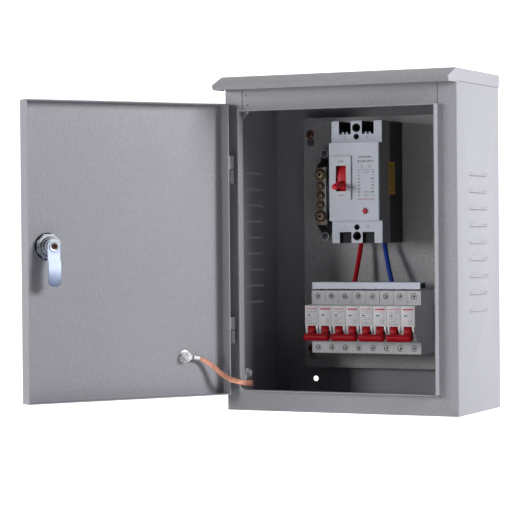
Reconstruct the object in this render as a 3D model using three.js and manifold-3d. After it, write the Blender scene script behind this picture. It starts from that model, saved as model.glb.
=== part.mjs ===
// Wall-mounted subpanel enclosure with an open hinged door: folded sheet-steel box with louvred sides and a rain hood,
// a mounting plate with a main breaker, an earth bar and a row of four two-pole breakers, a cam lock and an earth strap.
// Millimetres, +Z up, front towards -Y. The origin is the centre of the box's flat rear face.
// Inside the "box" group, x runs 0 to WIDTH from left to right, y runs 0 (front face) to DEPTH (rear face) and z runs 0 to HEIGHT.
import * as THREE from "three";
import { mergeVertices } from "three/addons/utils/BufferGeometryUtils.js";
import Module from "manifold-3d";

const wasm = await Module();
wasm.setup();

// ---------------------------------------------------------------- driving dimensions
const WIDTH = 300; // box width
const DEPTH = 146.5; // box depth, rear face to front face
const HEIGHT = 404.3; // box height, without the hood sheet
const SHEET = 1.2; // sheet thickness of box and door
const GAP = 0.3; // clearance between touching pieces

const OPENING = { x0: 23.1, x1: 274.6, z0: 25.3, z1: 363.4 }; // clear front opening, inside its lips
const SEAM = 276.2; // right flange's edge beside the top rail
const LIP = 10; // how far the lips stand forward of the front face
const GUSSET = 9.5; // leg of the stiffening gusset in the upper left corner

const HOOD_SHEET = 1.0;
const HOOD_FOLD_Y = -5.8; // where the roof turns down
const HOOD_EAVE = { y: -33.1, z: 394.1 }; // lower end of the slope
const HOOD_DRIP = { y: -30.2, z: 388.4 }; // lower end of the drip lip
const HOOD_SIDE_Z = 390.6; // bottom of the hood's side flanges

const LOUVRE = { count: 9, pitch: 20.1, y0: 38.5, y1: 103.5, rise: 4.6, out: 2.2, end: 4, right: 120.9, left: 127.2 };

const WALL_HOLE = { r: 3.5, x: 53.9, low: 29.8, high: 378.0 }; // x from each side
const PLATE = { x0: 48, x1: 252, z0: 45.8, z1: 359.8, y: 126.5, t: 1.5 }; // mounting plate, y = front face
const PLATE_SCREWS = [
  [57.6, 339.1],
  [242.4, 339.1],
  [57.6, 69.7],
  [242.4, 69.7],
];

const DOOR = { x0: 16.3, x1: 281.6, z0: 19.5, z1: 372.9, front: -19.6, edge: -1.0 }; // closed position
const DOOR_OPEN = 125.3; // degrees from closed
const HINGE = { x: 10.8, y: -4.3, r: 2.7, pin: 1.45, bore: 1.75 };
const HINGES = { upper: [276.5, 293.0, 309.7], lower: [81.6, 97.8, 113.7] }; // bottom, split, top

const LOCK = { x: 249.3, z: 202.3, reach: 46.6, width: 15.6 };

const RAIL = { z: 104.1, x0: 72, x1: 232, front: 118.7, back: 126.2 };
const MCB = { x0: 80.4, pitch: 36.1, width: 35.8, pole: 18.05, bottom: 66.8, top: 144.4, shoulder: 75, nose: 54, noseBottom: 81.4, noseTop: 126.8, label: 101.7 };
const TOGGLE = { y: 60, z: 94.5, arm: 12.8, drum: 8.0, tilt: 31 };

const MAIN = { x0: 115.6, x1: 181.6, z0: 202.5, z1: 351.0, split: 85.55, block: 59.5, cover: 50.0, coverZ0: 229.6, coverZ1: 324.2 };
const LEVER = { x: 132.4, y: 80, z: 281, drum: 29.9, half: 6.8, tip: 54, tilt: 12, pocket: 25.7 };
const BUTTON = { x: 163.4, z: 241.1, r: 3.0 };

const BAR = { x: 80.5, w: 14.6, y0: 105.2, y1: 109.2, z0: 225.2, z1: 296.8 };

// ---------------------------------------------------------------- helpers
function toSolid(geometry) {
  const g = geometry.clone();
  for (const key of Object.keys(g.attributes)) if (key !== "position") g.deleteAttribute(key);
  const m = mergeVertices(g, 1e-4);
  const tri = [];
  const a = m.index.array;
  for (let i = 0; i < a.length; i += 3)
    if (a[i] !== a[i + 1] && a[i + 1] !== a[i + 2] && a[i] !== a[i + 2]) tri.push(a[i], a[i + 1], a[i + 2]);
  const make = (t) =>
    new wasm.Manifold(
      new wasm.Mesh({ numProp: 3, vertProperties: new Float32Array(m.attributes.position.array), triVerts: new Uint32Array(t) }),
    );
  const s = make(tri);
  if (s.volume() >= 0) return s;
  for (let i = 0; i < tri.length; i += 3) [tri[i + 1], tri[i + 2]] = [tri[i + 2], tri[i + 1]];
  return make(tri);
}

function toGeometry(solid) {
  const m = solid.getMesh();
  const v = new Float32Array(m.numVert * 3);
  for (let i = 0; i < m.numVert; i++) v.set(m.vertProperties.subarray(i * m.numProp, i * m.numProp + 3), i * 3);
  const g = new THREE.BufferGeometry();
  g.setAttribute("position", new THREE.BufferAttribute(v, 3));
  g.setIndex(new THREE.BufferAttribute(new Uint32Array(m.triVerts), 1));
  g.computeVertexNormals();
  return g;
}

const join = (...s) => s.reduce((a, b) => a.add(b));
const cut = (s, ...tools) => tools.reduce((a, b) => a.subtract(b), s);

const box = (x0, x1, y0, y1, z0, z1) =>
  toSolid(new THREE.BoxGeometry(x1 - x0, y1 - y0, z1 - z0).translate((x0 + x1) / 2, (y0 + y1) / 2, (z0 + z1) / 2));

const X = new THREE.Vector3(1, 0, 0);
const Y = new THREE.Vector3(0, 1, 0);
const Z = new THREE.Vector3(0, 0, 1);

// A prism along an axis: outline points are (y,z) along x, (x,z) along y and (x,y) along z.
function prism(axis, points, from, to) {
  const flip = (p) => (axis === "y" ? new THREE.Vector2(p[1], p[0]) : new THREE.Vector2(p[0], p[1]));
  const shape = new THREE.Shape(points.map(flip));
  const g = new THREE.ExtrudeGeometry(shape, { depth: to - from, bevelEnabled: false, steps: 1 }).translate(0, 0, from);
  const basis = { x: [Y, Z, X], y: [Z, X, Y], z: [X, Y, Z] }[axis];
  return toSolid(g.applyMatrix4(new THREE.Matrix4().makeBasis(...basis)));
}

// A cylinder along an axis: its centre is (y,z) along x, (x,z) along y and (x,y) along z.
function rod(axis, a, b, r, from, to, n = 20) {
  const g = new THREE.CylinderGeometry(r, r, to - from, n);
  const mid = (from + to) / 2;
  if (axis === "x") g.rotateZ(Math.PI / 2).translate(mid, a, b);
  if (axis === "y") g.translate(a, mid, b);
  if (axis === "z") g.rotateX(Math.PI / 2).translate(a, b, mid);
  return toSolid(g);
}

// A turned piece about the y axis: profile points are (radius, y).
const turned = (profile, n = 20) =>
  toSolid(new THREE.LatheGeometry(profile.map((p) => new THREE.Vector2(p[0], p[1])), n));

const ring = (cx, cy, r, n, start = 0) =>
  Array.from({ length: n }, (_, i) => {
    const t = start + (i / n) * Math.PI * 2;
    return [cx + r * Math.cos(t), cy + r * Math.sin(t)];
  });

// A round tube along a smooth curve through points.
function tube(points, r, sides, steps) {
  const curve = new THREE.CatmullRomCurve3(points.map((p) => new THREE.Vector3(...p)), false, "centripetal");
  const shape = new THREE.Shape(ring(0, 0, r, sides).map((p) => new THREE.Vector2(...p)));
  return toSolid(new THREE.ExtrudeGeometry(shape, { steps, extrudePath: curve, bevelEnabled: false }));
}

const PAINT = new THREE.MeshStandardMaterial({ color: 0xb9b6b0, roughness: 0.55, metalness: 0.1 });
const ZINC = new THREE.MeshStandardMaterial({ color: 0xc9ccd0, roughness: 0.3, metalness: 1 });
const CHROME = new THREE.MeshStandardMaterial({ color: 0xdfe3e8, roughness: 0.12, metalness: 1 });
const COPPERY = new THREE.MeshStandardMaterial({ color: 0xb07a4c, roughness: 0.35, metalness: 1 });
const COPPER = new THREE.MeshStandardMaterial({ color: 0xc77b55, roughness: 0.4, metalness: 1 });
const BRASS = new THREE.MeshStandardMaterial({ color: 0xb8995a, roughness: 0.35, metalness: 1 });
const WHITE_PLASTIC = new THREE.MeshStandardMaterial({ color: 0xdcdcdc, roughness: 0.5 });
const GREY_PLASTIC = new THREE.MeshStandardMaterial({ color: 0xb4b9c2, roughness: 0.5 });
const BLACK_PLASTIC = new THREE.MeshStandardMaterial({ color: 0x141416, roughness: 0.5 });
const RED_PLASTIC = new THREE.MeshStandardMaterial({ color: 0xa5141f, roughness: 0.4 });
const RUBBER = new THREE.MeshStandardMaterial({ color: 0x0c0c0c, roughness: 0.8 });
const RED_WIRE = new THREE.MeshStandardMaterial({ color: 0xa01020, roughness: 0.45 });
const BLUE_WIRE = new THREE.MeshStandardMaterial({ color: 0x1c3f9c, roughness: 0.45 });

function add(group, name, solid, material, place = [0, 0, 0], turn = [0, 0, 0]) {
  const mesh = new THREE.Mesh(toGeometry(solid), material);
  mesh.name = name;
  mesh.position.set(...place);
  mesh.rotation.set(...turn.map(THREE.MathUtils.degToRad));
  group.add(mesh);
  return mesh;
}

// ---------------------------------------------------------------- groups
const root = new THREE.Group();
root.name = "subpanel_enclosure";
const body = new THREE.Group();
body.position.set(-WIDTH / 2, -DEPTH, -HEIGHT / 2);
root.add(body);

// The door group turns about the hinge axis; inside it everything is drawn in its closed place.
const swing = new THREE.Group();
swing.position.set(HINGE.x, HINGE.y, 0);
swing.rotation.z = THREE.MathUtils.degToRad(-DOOR_OPEN);
body.add(swing);
const door = new THREE.Group();
door.position.set(-HINGE.x, -HINGE.y, 0);
swing.add(door);

// ---------------------------------------------------------------- box sheets
// Side sheet: wall, front flange and forward lip folded from one sheet, with lanced louvres. Drawn for the right side
// when right is true; the bottom of the flange is mitred to the bottom rail.
function sidePanel(right) {
  const out = right ? WIDTH : 0; // outer face
  const s = right ? -1 : 1; // towards the inside
  const edge = right ? OPENING.x1 : OPENING.x0; // lip's inner face
  const span = (a, b) => [Math.min(a, b), Math.max(a, b)];
  const [wx0, wx1] = span(out, out + s * SHEET);
  const round = 1.6;
  // wall and front flange in plan, with a small fold radius on the outer corner
  const plan = [
    [out, DEPTH],
    [out, round],
    [out + s * 0.47, 0.47],
    [out + s * round, 0],
    [edge, 0],
    [edge, SHEET],
    [out + s * (SHEET + 0.5), SHEET],
    [out + s * SHEET, SHEET + 0.5],
    [out + s * SHEET, DEPTH],
  ];
  let panel = prism("z", plan, 0, HEIGHT);
  // mitre under the opening: the bottom rail takes the wedge below this line
  const wedge = [
    [out + s * 1.5, -1],
    [edge + s * 2, -1],
    [edge + s * 2, OPENING.z0],
    [edge, OPENING.z0],
    [out + s * 1.5, 0.4],
  ];
  panel = cut(panel, prism("y", wedge, -1, SHEET + 0.2));
  const [lx0, lx1] = span(edge, edge - s * SHEET);
  panel = join(panel, box(lx0, lx1, -LIP, SHEET, OPENING.z0 - SHEET + 0.9, OPENING.z1 + SHEET));
  // beside the top rail the right flange stops at the seam
  if (right) panel = cut(panel, box(edge - 1, SEAM, -1, SHEET + 0.3, OPENING.z1 + SHEET, HEIGHT + 1));
  const z0 = right ? LOUVRE.right : LOUVRE.left;
  for (let i = 0; i < LOUVRE.count; i++) {
    const z = z0 + i * LOUVRE.pitch;
    const hood = [
      [out + s * SHEET, z],
      [out - s * LOUVRE.out, z],
      [out - s * LOUVRE.out, z + 1.0],
      [out - s * (LOUVRE.out - 0.7), z + 2.3],
      [out, z + LOUVRE.rise],
      [out + s * SHEET, z + LOUVRE.rise],
    ];
    // the slot through the sheet starts above the hood's lower edge, so no level line passes through
    const bore = [
      [out + s * (SHEET + 1), z + 0.3],
      [out, z + 0.3],
      [out, z - 0.7],
      [out - s * (LOUVRE.out - 0.8), z - 0.7],
      [out - s * (LOUVRE.out - 0.8), z + 0.8],
      [out + s * 0.5, z + LOUVRE.rise - 1.0],
      [out + s * (SHEET + 1), z + LOUVRE.rise - 1.0],
    ];
    // plan of the pressing, its ends sloping into the sheet
    const plan = (inset) => [
      [out + s * (SHEET + 2), LOUVRE.y0 + inset],
      [out, LOUVRE.y0 + inset],
      [out - s * LOUVRE.out, LOUVRE.y0 + LOUVRE.end + inset],
      [out - s * LOUVRE.out, LOUVRE.y1 - LOUVRE.end - inset],
      [out, LOUVRE.y1 - inset],
      [out + s * (SHEET + 2), LOUVRE.y1 - inset],
    ];
    const pressed = (profile, inset) => prism("y", profile, LOUVRE.y0, LOUVRE.y1).intersect(prism("z", plan(inset), z - 2, z + LOUVRE.rise + 2));
    panel = cut(join(panel, pressed(hood, 0)), pressed(bore, 1.1));
  }
  return panel;
}
add(body, "side_panel_left", sidePanel(false), PAINT);
add(body, "side_panel_right", sidePanel(true), PAINT);

// Top sheet: roof, front rail and lip in one, between the side flanges; two spot-weld dimples near each rail end stay for the finish.
const railX0 = OPENING.x0 + 2 * GAP;
const railX1 = OPENING.x1 - 2 * GAP;
const inX0 = SHEET + GAP;
const inX1 = WIDTH - SHEET - GAP;
{
  const top = join(
    box(inX0, inX1, SHEET + GAP, DEPTH, HEIGHT - SHEET, HEIGHT),
    box(railX0, railX1, 0, SHEET, OPENING.z1, HEIGHT),
    box(railX1 - 1, SEAM - 2 * GAP, 0, SHEET, OPENING.z1 + SHEET + 2 * GAP, HEIGHT),
    box(railX0, railX1, 0, SHEET + GAP + 1, HEIGHT - SHEET, HEIGHT),
    box(railX0, railX1, -LIP, SHEET, OPENING.z1, OPENING.z1 + SHEET),
    prism(
      "y",
      [
        [railX0, OPENING.z1 + 0.5],
        [railX0, OPENING.z1 - GUSSET],
        [railX0 + GUSSET, OPENING.z1],
        [railX0 + GUSSET, OPENING.z1 + 0.5],
      ],
      0,
      SHEET,
    ),
  );
  add(body, "top_panel", top, PAINT);
}

// Bottom sheet: floor, front rail and lip in one, mitred into the side flanges, with three knock-outs for cable glands.
{
  const rail = [
    [1.5 + GAP * 1.4, 0],
    [WIDTH - 1.5 - GAP * 1.4, 0],
    [WIDTH - 1.5 - GAP * 1.4, 0.4],
    [railX1, OPENING.z0 - 0.3],
    [railX1, OPENING.z0],
    [railX0, OPENING.z0],
    [railX0, OPENING.z0 - 0.3],
    [1.5 + GAP * 1.4, 0.4],
  ];
  const inset = 0.4;
  const railPoints = rail.map(([x, z]) => [x < WIDTH / 2 ? x + (z > 1 ? 0 : inset) : x - (z > 1 ? 0 : inset), z]);
  let floor = join(
    box(inX0, inX1, SHEET + 0.6, DEPTH, 0, SHEET),
    prism("y", railPoints, 0, SHEET),
    box(4, WIDTH - 4, 0, SHEET + 2, 0, SHEET),
    box(railX0, railX1, -LIP, SHEET, OPENING.z0 - SHEET, OPENING.z0),
  );
  for (const x of [90, 150, 210]) {
    const groove = cut(rod("z", x, 74, 14, -1, SHEET + 1, 20), rod("z", x, 74, 13, -2, SHEET + 2, 20), box(x - 20, x + 20, 72.5, 75.5, -3, 5));
    floor = cut(floor, groove);
  }
  add(body, "bottom_panel", floor, PAINT);
}

// Rear sheet with four wall holes and four welded, bored standoffs for the mounting plate.
{
  let back = box(inX0, inX1, DEPTH - SHEET, DEPTH, SHEET + GAP, HEIGHT - SHEET - GAP);
  for (const [x, z] of PLATE_SCREWS)
    back = cut(
      join(back, rod("y", x, z, 5.2, PLATE.y + PLATE.t + GAP, DEPTH - SHEET + 0.5, 14)),
      rod("y", x, z, 2.7, PLATE.y, DEPTH - SHEET - 1, 12),
    );
  for (const x of [WALL_HOLE.x, WIDTH - WALL_HOLE.x])
    for (const z of [WALL_HOLE.low, WALL_HOLE.high]) back = cut(back, rod("y", x, z, WALL_HOLE.r, DEPTH - 5, DEPTH + 5, 14));
  add(body, "back_panel", back, PAINT);
}

// Rain hood: roof sheet, front slope and drip lip, with side flanges, resting on the box.
{
  const t = HOOD_SHEET;
  const roof = HEIGHT + GAP + t;
  const outer = [
    [DEPTH, roof],
    [HOOD_FOLD_Y, roof],
    [HOOD_EAVE.y, HOOD_EAVE.z],
    [HOOD_DRIP.y, HOOD_DRIP.z],
  ];
  const inner = [
    [HOOD_DRIP.y + t, HOOD_DRIP.z + 0.3],
    [HOOD_EAVE.y + t * 1.15, HOOD_EAVE.z - t * 0.6],
    [HOOD_FOLD_Y + 0.2, roof - t],
    [DEPTH, roof - t],
  ];
  const xa = -GAP - t;
  const xb = WIDTH + GAP + t;
  const side = [
    [DEPTH, roof],
    [HOOD_FOLD_Y, roof],
    [HOOD_EAVE.y, HOOD_EAVE.z],
    [HOOD_DRIP.y, HOOD_DRIP.z],
    [-1, HOOD_DRIP.z + 0.6],
    [0, HOOD_SIDE_Z],
    [DEPTH, HOOD_SIDE_Z],
  ];
  const hood = join(prism("x", [...outer, ...inner], xa, xb), prism("x", side, xa, xa + t), prism("x", side, xb - t, xb));
  add(body, "rain_hood", hood, PAINT);
}

// ---------------------------------------------------------------- mounting plate and its screws
{
  let plate = prism(
    "y",
    [
      [PLATE.x0 + 3, PLATE.z0],
      [PLATE.x1 - 3, PLATE.z0],
      [PLATE.x1, PLATE.z0 + 3],
      [PLATE.x1, PLATE.z1 - 3],
      [PLATE.x1 - 3, PLATE.z1],
      [PLATE.x0 + 3, PLATE.z1],
      [PLATE.x0, PLATE.z1 - 3],
      [PLATE.x0, PLATE.z0 + 3],
    ],
    PLATE.y,
    PLATE.y + PLATE.t,
  );
  for (const [x, z] of PLATE_SCREWS)
    plate = cut(
      plate,
      rod("y", x, z, 3.0, PLATE.y - 5, PLATE.y + 5, 12),
      box(x - 2.9, x + 2.9, PLATE.y - 5, PLATE.y + 5, z - 9.5, z),
      rod("y", x, z - 9.8, 5.4, PLATE.y - 5, PLATE.y + 5, 16),
    );
  add(body, "mounting_plate", plate, PAINT);
}

// Pan-head screw along y, head towards -y, seat at y = 0, with a cross recess.
function panScrew(head, height, shank, length, n = 16, cross = 0) {
  let s = turned(
    [
      [0, -height],
      [head * 0.45, -height * 0.97],
      [head * 0.78, -height * 0.78],
      [head, -height * 0.3],
      [head, 0],
      [shank, 0],
      [shank, length],
      [0, length],
    ],
    n,
  );
  if (cross) {
    const w = cross * 0.28;
    s = cut(s, box(-cross, cross, -height - 1, -height * 0.45, -w, w), box(-w, w, -height - 1, -height * 0.45, -cross, cross));
  }
  return s;
}
PLATE_SCREWS.forEach(([x, z], i) => add(body, "plate_screw_" + (i + 1), panScrew(5.6, 3.6, 2.3, 12, 14, 2.4), COPPERY, [x, PLATE.y - GAP, z]));

// ---------------------------------------------------------------- DIN rail
{
  const { z, front, back } = RAIL;
  const t = 1;
  const hat = [
    [front, z - 17.5],
    [front + t, z - 17.5],
    [front + t, z - 13.5],
    [back, z - 13.5],
    [back, z + 13.5],
    [front + t, z + 13.5],
    [front + t, z + 17.5],
    [front, z + 17.5],
    [front, z + 12.5],
    [back - t, z + 12.5],
    [back - t, z - 12.5],
    [front, z - 12.5],
  ];
  add(body, "din_rail", prism("x", hat, RAIL.x0, RAIL.x1), ZINC);
}

// ---------------------------------------------------------------- two-pole breakers
function breakerCase() {
  const m = MCB;
  const side = [
    [124.6, m.bottom],
    [m.shoulder + 0.8, m.bottom],
    [m.shoulder, m.bottom + 0.8],
    [m.shoulder, m.noseBottom],
    [66, m.noseBottom + 0.3],
    [62, 84.2],
    [58.8, 87.5],
    [56.2, 92],
    [54.6, 97],
    [m.nose, m.label],
    [m.nose, m.noseTop - 0.8],
    [m.nose + 0.8, m.noseTop],
    [m.shoulder, m.noseTop],
    [m.shoulder, m.top - 0.8],
    [m.shoulder + 0.8, m.top],
    [124.6, m.top],
    [124.6, 123.9],
    [118.4, 123.9],
    [118.4, 84.3],
    [124.6, 84.3],
  ];
  let c = prism("x", side, 0, m.width);
  for (const i of [0, 1]) {
    const x = i * m.pole + 9.02 - 0.15;
    // toggle slot
    c = cut(
      c,
      join(rod("x", TOGGLE.y, TOGGLE.z, TOGGLE.drum + 0.7, x - 5.2, x + 5.2, 18), box(x - 5.2, x + 5.2, 48, 62, 83.2, m.label - 0.1)),
    );
    // terminal screw wells on the two shoulders
    c = cut(c, rod("y", x, m.noseTop + 10.6, 3.4, m.shoulder - 1, m.shoulder + 6, 12), rod("y", x, m.bottom + 7.2, 3.4, m.shoulder - 1, m.shoulder + 6, 12));
    // comb slot and conductor entries
    c = cut(
      c,
      box(x - 4, x + 4, 83, 93, 133, m.top + 1),
      box(x - 4.2, x + 4.2, 95, 103.4, 133, m.top + 1),
      box(x - 4.2, x + 4.2, 88, 98, m.bottom - 1, m.bottom + 10),
    );
  }
  // parting groove between the two poles, on nose and shoulders
  c = cut(c, box(m.width / 2 - 0.25, m.width / 2 + 0.25, 50, m.shoulder + 0.6, m.noseTop - 0.01, m.top + 1));
  c = cut(c, box(m.width / 2 - 0.25, m.width / 2 + 0.25, 50, m.nose + 0.6, m.label, m.noseTop + 1));
  return c;
}
function toggle() {
  const p = MCB.pole;
  const half = TOGGLE;
  const bar = [];
  for (let i = 0; i < 12; i++) {
    const t = ((i + 0.5) / 12) * Math.PI * 2;
    bar.push([-half.arm + 4.2 * Math.cos(t), 4.5 * Math.sin(t)]);
  }
  const shrink = (k) => bar.map(([y, z]) => [-half.arm + (y + half.arm) * k, z * k]);
  let s = join(prism("x", bar, -14.8, 14.8), prism("x", shrink(0.72), -16.7, 16.7), prism("x", shrink(0.9), -16.0, 16.0));
  for (const x of [-p / 2, p / 2])
    s = join(s, rod("x", 0, 0, half.drum, x - 4.7, x + 4.7, 18), box(x - 4.2, x + 4.2, -half.arm, 0, -2.6, 2.6));
  return s;
}
for (let i = 0; i < 4; i++) {
  const x = MCB.x0 + i * MCB.pitch;
  add(body, "breaker_case_" + (i + 1), breakerCase(), WHITE_PLASTIC, [x + 0.15, 0, 0]);
  add(body, "breaker_toggle_" + (i + 1), toggle(), RED_PLASTIC, [x + 0.15 + MCB.width / 2, TOGGLE.y, TOGGLE.z], [TOGGLE.tilt, 0, 0]);
}

// Comb busbar: two copper combs in a plastic channel over the upper terminals.
{
  const channel = [
    [75, 146.0],
    [75, 153.9],
    [75.6, 154.5],
    [94.4, 154.5],
    [95, 153.9],
    [95, 146.0],
    [93.6, 146.0],
    [93.6, 153.1],
    [76.4, 153.1],
    [76.4, 146.0],
  ];
  const ends = [80.9, 222.7].map((x) => box(x, x + 1, 75.5, 94.5, 146.0, 154.0));
  add(body, "busbar_housing", join(prism("x", channel, 80.9, 223.7), ...ends), GREY_PLASTIC);
  const comb = (y0, y1, first) => {
    let s = box(84, 221, y0, y1, 146.6, 152.4);
    for (let i = first; i < 8; i += 2) {
      const x = MCB.x0 + 9.02 + i * 18.05;
      s = join(s, box(x - 2.6, x + 2.6, y0, y1, 134.5, 147));
    }
    return s;
  };
  add(body, "busbar_live", comb(84.5, 86, 0), COPPER);
  add(body, "busbar_neutral", comb(89.5, 91, 1), COPPER);
}

// ---------------------------------------------------------------- main breaker
const slots = [
  [125.4, 141.0],
  [155.6, 171.2],
];
{
  const m = MAIN;
  // cover: raised middle, lower terminal blocks with open wire slots and fixing holes
  let cover = join(
    box(m.x0, m.x1, m.block, m.split - GAP / 2, m.z0, m.z1),
    prism(
      "z",
      [
        [m.x0, m.block + 1],
        [m.x0, m.cover + 1],
        [m.x0 + 1, m.cover],
        [m.x1 - 1, m.cover],
        [m.x1, m.cover + 1],
        [m.x1, m.block + 1],
      ],
      m.coverZ0,
      m.coverZ1,
    ),
  );
  for (const [a, b] of slots) {
    cover = cut(cover, box(a, b, m.block - 1, m.split + 1, 335.0, m.z1 + 1), box(a, b, m.block - 1, m.split + 1, m.z0 - 1, 215.9));
    // comb teeth on the upper slot's sill
    for (const k of [1, 2]) {
      const x = a + ((b - a) * k) / 3;
      cover = join(cover, box(x - 1.1, x + 1.1, m.block, m.block + 3, 334.5, 337.6));
    }
  }
  cover = cut(
    cover,
    rod("y", 148.3, 342.6, 4.9, m.block - 1, m.split + 1, 20),
    rod("y", 148.3, 331.9, 3.1, m.block - 1, m.block + 12, 16),
    rod("y", 148.3, 211.0, 4.9, m.block - 1, m.split + 1, 20),
    rod("y", 148.3, 221.7, 3.1, m.block - 1, m.block + 12, 16),
    // lever pocket behind the escutcheon, and the button bore
    box(LEVER.x - 7.4, LEVER.x + 7.4, m.cover - 1, m.split + 1, LEVER.z - LEVER.pocket, LEVER.z + LEVER.pocket),
    rod("y", BUTTON.x, BUTTON.z, BUTTON.r + 0.4, m.cover - 1, m.cover + 16, 20),
  );
  add(body, "main_breaker_cover", cover, GREY_PLASTIC);

  let base = box(m.x0, m.x1, m.split + GAP / 2, PLATE.y - GAP, m.z0, m.z1);
  for (const [a, b] of slots)
    base = cut(base, box(a, b, m.split - 1, 118, 334, m.z1 + 1), box(a, b, m.split - 1, 118, m.z0 - 1, 217));
  base = cut(base, box(LEVER.x - 7.4, LEVER.x + 7.4, m.split - 1, 92, LEVER.z - LEVER.pocket, LEVER.z + LEVER.pocket));
  for (const z of [342.6, 211.0]) base = cut(base, rod("y", 148.3, z, 3.0, m.split - 1, PLATE.y + 1, 16));
  add(body, "main_breaker_base", base, BLACK_PLASTIC);

  // raised plate round the lever window
  const win = [
    [125.8, 265.5],
    [139.0, 265.5],
    [139.0, 296.5],
    [125.8, 296.5],
  ];
  const rim = [
    [120.8, 255.0],
    [144.6, 255.0],
    [145.6, 256.0],
    [145.6, 307.0],
    [144.6, 308.0],
    [120.8, 308.0],
    [119.8, 307.0],
    [119.8, 256.0],
  ];
  add(body, "main_breaker_escutcheon", cut(prism("y", rim, m.cover - 1.9, m.cover - GAP), prism("y", win, m.cover - 5, m.cover + 5)), GREY_PLASTIC);
}
// lever: curved shield, web and hub on the pivot, with the handle standing out through the window
{
  const L = LEVER;
  const half = 44;
  const arc = [];
  for (let i = 0; i <= 12; i++) {
    const t = THREE.MathUtils.degToRad(-half + (i * 2 * half) / 12);
    arc.push([-(L.drum - 0.4) * Math.cos(t), (L.drum - 0.4) * Math.sin(t)]);
  }
  for (let i = 12; i >= 0; i--) {
    const t = THREE.MathUtils.degToRad(-half + (i * 2 * half) / 12);
    arc.push([-(L.drum - 3) * Math.cos(t), (L.drum - 3) * Math.sin(t)]);
  }
  const handle = [
    [-20, -3.6],
    [-L.tip + 2.2, -3.0],
    [-L.tip + 0.6, -2.2],
    [-L.tip, 0],
    [-L.tip + 0.6, 2.2],
    [-L.tip + 2.2, 3.0],
    [-20, 3.6],
  ];
  const lever = join(
    prism("x", arc, -L.half, L.half),
    box(-4, 4, -28, 0, -2.5, 2.5),
    rod("x", 0, 0, 4.2, -L.half, L.half, 16),
    prism("x", handle, -4.2, 4.2),
  );
  add(body, "main_breaker_lever", lever, RED_PLASTIC, [L.x, L.y, L.z], [L.tilt, 0, 0]);
}
add(
  body,
  "main_breaker_test_button",
  turned(
    [
      [0, -1.7],
      [2.2, -1.7],
      [BUTTON.r, -1.1],
      [BUTTON.r, 12],
      [0, 12],
    ],
    20,
  ),
  RED_PLASTIC,
  [BUTTON.x, MAIN.cover, BUTTON.z],
);

// ---------------------------------------------------------------- earth bar
{
  const b = BAR;
  let bar = box(b.x - b.w / 2, b.x + b.w / 2, b.y0, b.y1, b.z0, b.z1);
  const ends = [
    [b.z1 - 8.8, 7.3, 5.4, 3.2],
    [b.z0 + 10.6, 7.3, 5.4, 3.2],
  ];
  const small = [273.9, 262.2, 250.4];
  for (const [z, , , shank] of ends) bar = cut(bar, rod("y", b.x, z, shank + 0.4, b.y0 - 1, b.y1 + 1, 16));
  for (const z of small) bar = cut(bar, rod("y", b.x, z, 2.4, b.y0 - 1, b.y1 + 1, 14));
  add(body, "terminal_bar", bar, BRASS);
  ends.forEach(([z, r, h, shank], i) => add(body, "terminal_bar_end_screw_" + (i + 1), panScrew(r, h, shank, 12, 16, 3.6), BRASS, [b.x, b.y0 - GAP, z]));
  small.forEach((z, i) => add(body, "terminal_bar_screw_" + (i + 1), panScrew(4.7, 3.8, 2.0, 8, 14, 2.4), BRASS, [b.x, b.y0 - GAP, z]));
  // insulating feet: a pillar under each end of the bar and a screwed tab on the plate
  const foot = (up) => {
    const s = up ? 1 : -1;
    const end = up ? b.z1 : b.z0;
    const screw = up ? ends[0][0] : ends[1][0];
    const y0 = b.y1 + GAP;
    const y1 = PLATE.y - GAP;
    const tab = up ? 314.3 : 210.7;
    const f = join(
      box(b.x - 7, b.x + 7, y0, y1, Math.min(end + s * 1.5, screw - s * 8), Math.max(end + s * 1.5, screw - s * 8)),
      // shoulder narrowing and falling from the bar's end to the tab
      prism(
        "x",
        [
          [y0, end + s * 1],
          [y1 - 4.5, end + s * 9.5],
          [y1 - 4.5, tab],
          [y1, tab],
          [y1, end],
          [y0, end],
        ],
        b.x - 7,
        b.x + 7,
      ).intersect(
        prism(
          "y",
          [
            [b.x - 7, end],
            [b.x + 7, end],
            [b.x + 7, end + s * 6],
            [b.x + 3.2, tab],
            [b.x - 5.8, tab],
            [b.x - 7, end + s * 6],
          ],
          y0 - 1,
          y1 + 1,
        ),
      ),
      rod("y", b.x - 1.5, tab, 4.9, y1 - 4.5, y1, 20),
    );
    return cut(f, rod("y", b.x, screw, 3.6, y0 - 1, y0 + 11, 14), rod("y", b.x - 1.5, tab, 2.4, y1 - 6, y1 + 1, 12));
  };
  add(body, "terminal_bar_foot_upper", foot(true), BLACK_PLASTIC);
  add(body, "terminal_bar_foot_lower", foot(false), BLACK_PLASTIC);
  // pan head with its flat washer
  const fix = join(panScrew(4.2, 3.2, 2.0, 4.2, 12, 2.2), rod("y", 0, 0, 5.3, -0.9, 0, 14));
  add(body, "foot_screw_upper", fix, ZINC, [b.x - 1.5, PLATE.y - GAP - 4.5 - GAP, 314.3]);
  add(body, "foot_screw_lower", fix, ZINC, [b.x - 1.5, PLATE.y - GAP - 4.5 - GAP, 210.7]);
}

// ---------------------------------------------------------------- wires from the main breaker to the breaker row
add(
  body,
  "wire_live",
  tube(
    [
      [133.2, 110, 214],
      [133.1, 109.8, 204],
      [131.2, 105.0, 182],
      [128.6, 99.6, 158],
      [126.2, 99.2, 149],
      [125.6, 99.2, 137],
    ],
    2.95,
    10,
    15,
  ),
  RED_WIRE,
);
add(
  body,
  "wire_neutral",
  tube(
    [
      [163.3, 110.3, 214],
      [163.8, 110.0, 204],
      [169.2, 104.8, 182],
      [176.3, 99.6, 158],
      [179.2, 99.2, 149],
      [179.7, 99.2, 137],
    ],
    2.95,
    10,
    15,
  ),
  BLUE_WIRE,
);

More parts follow.
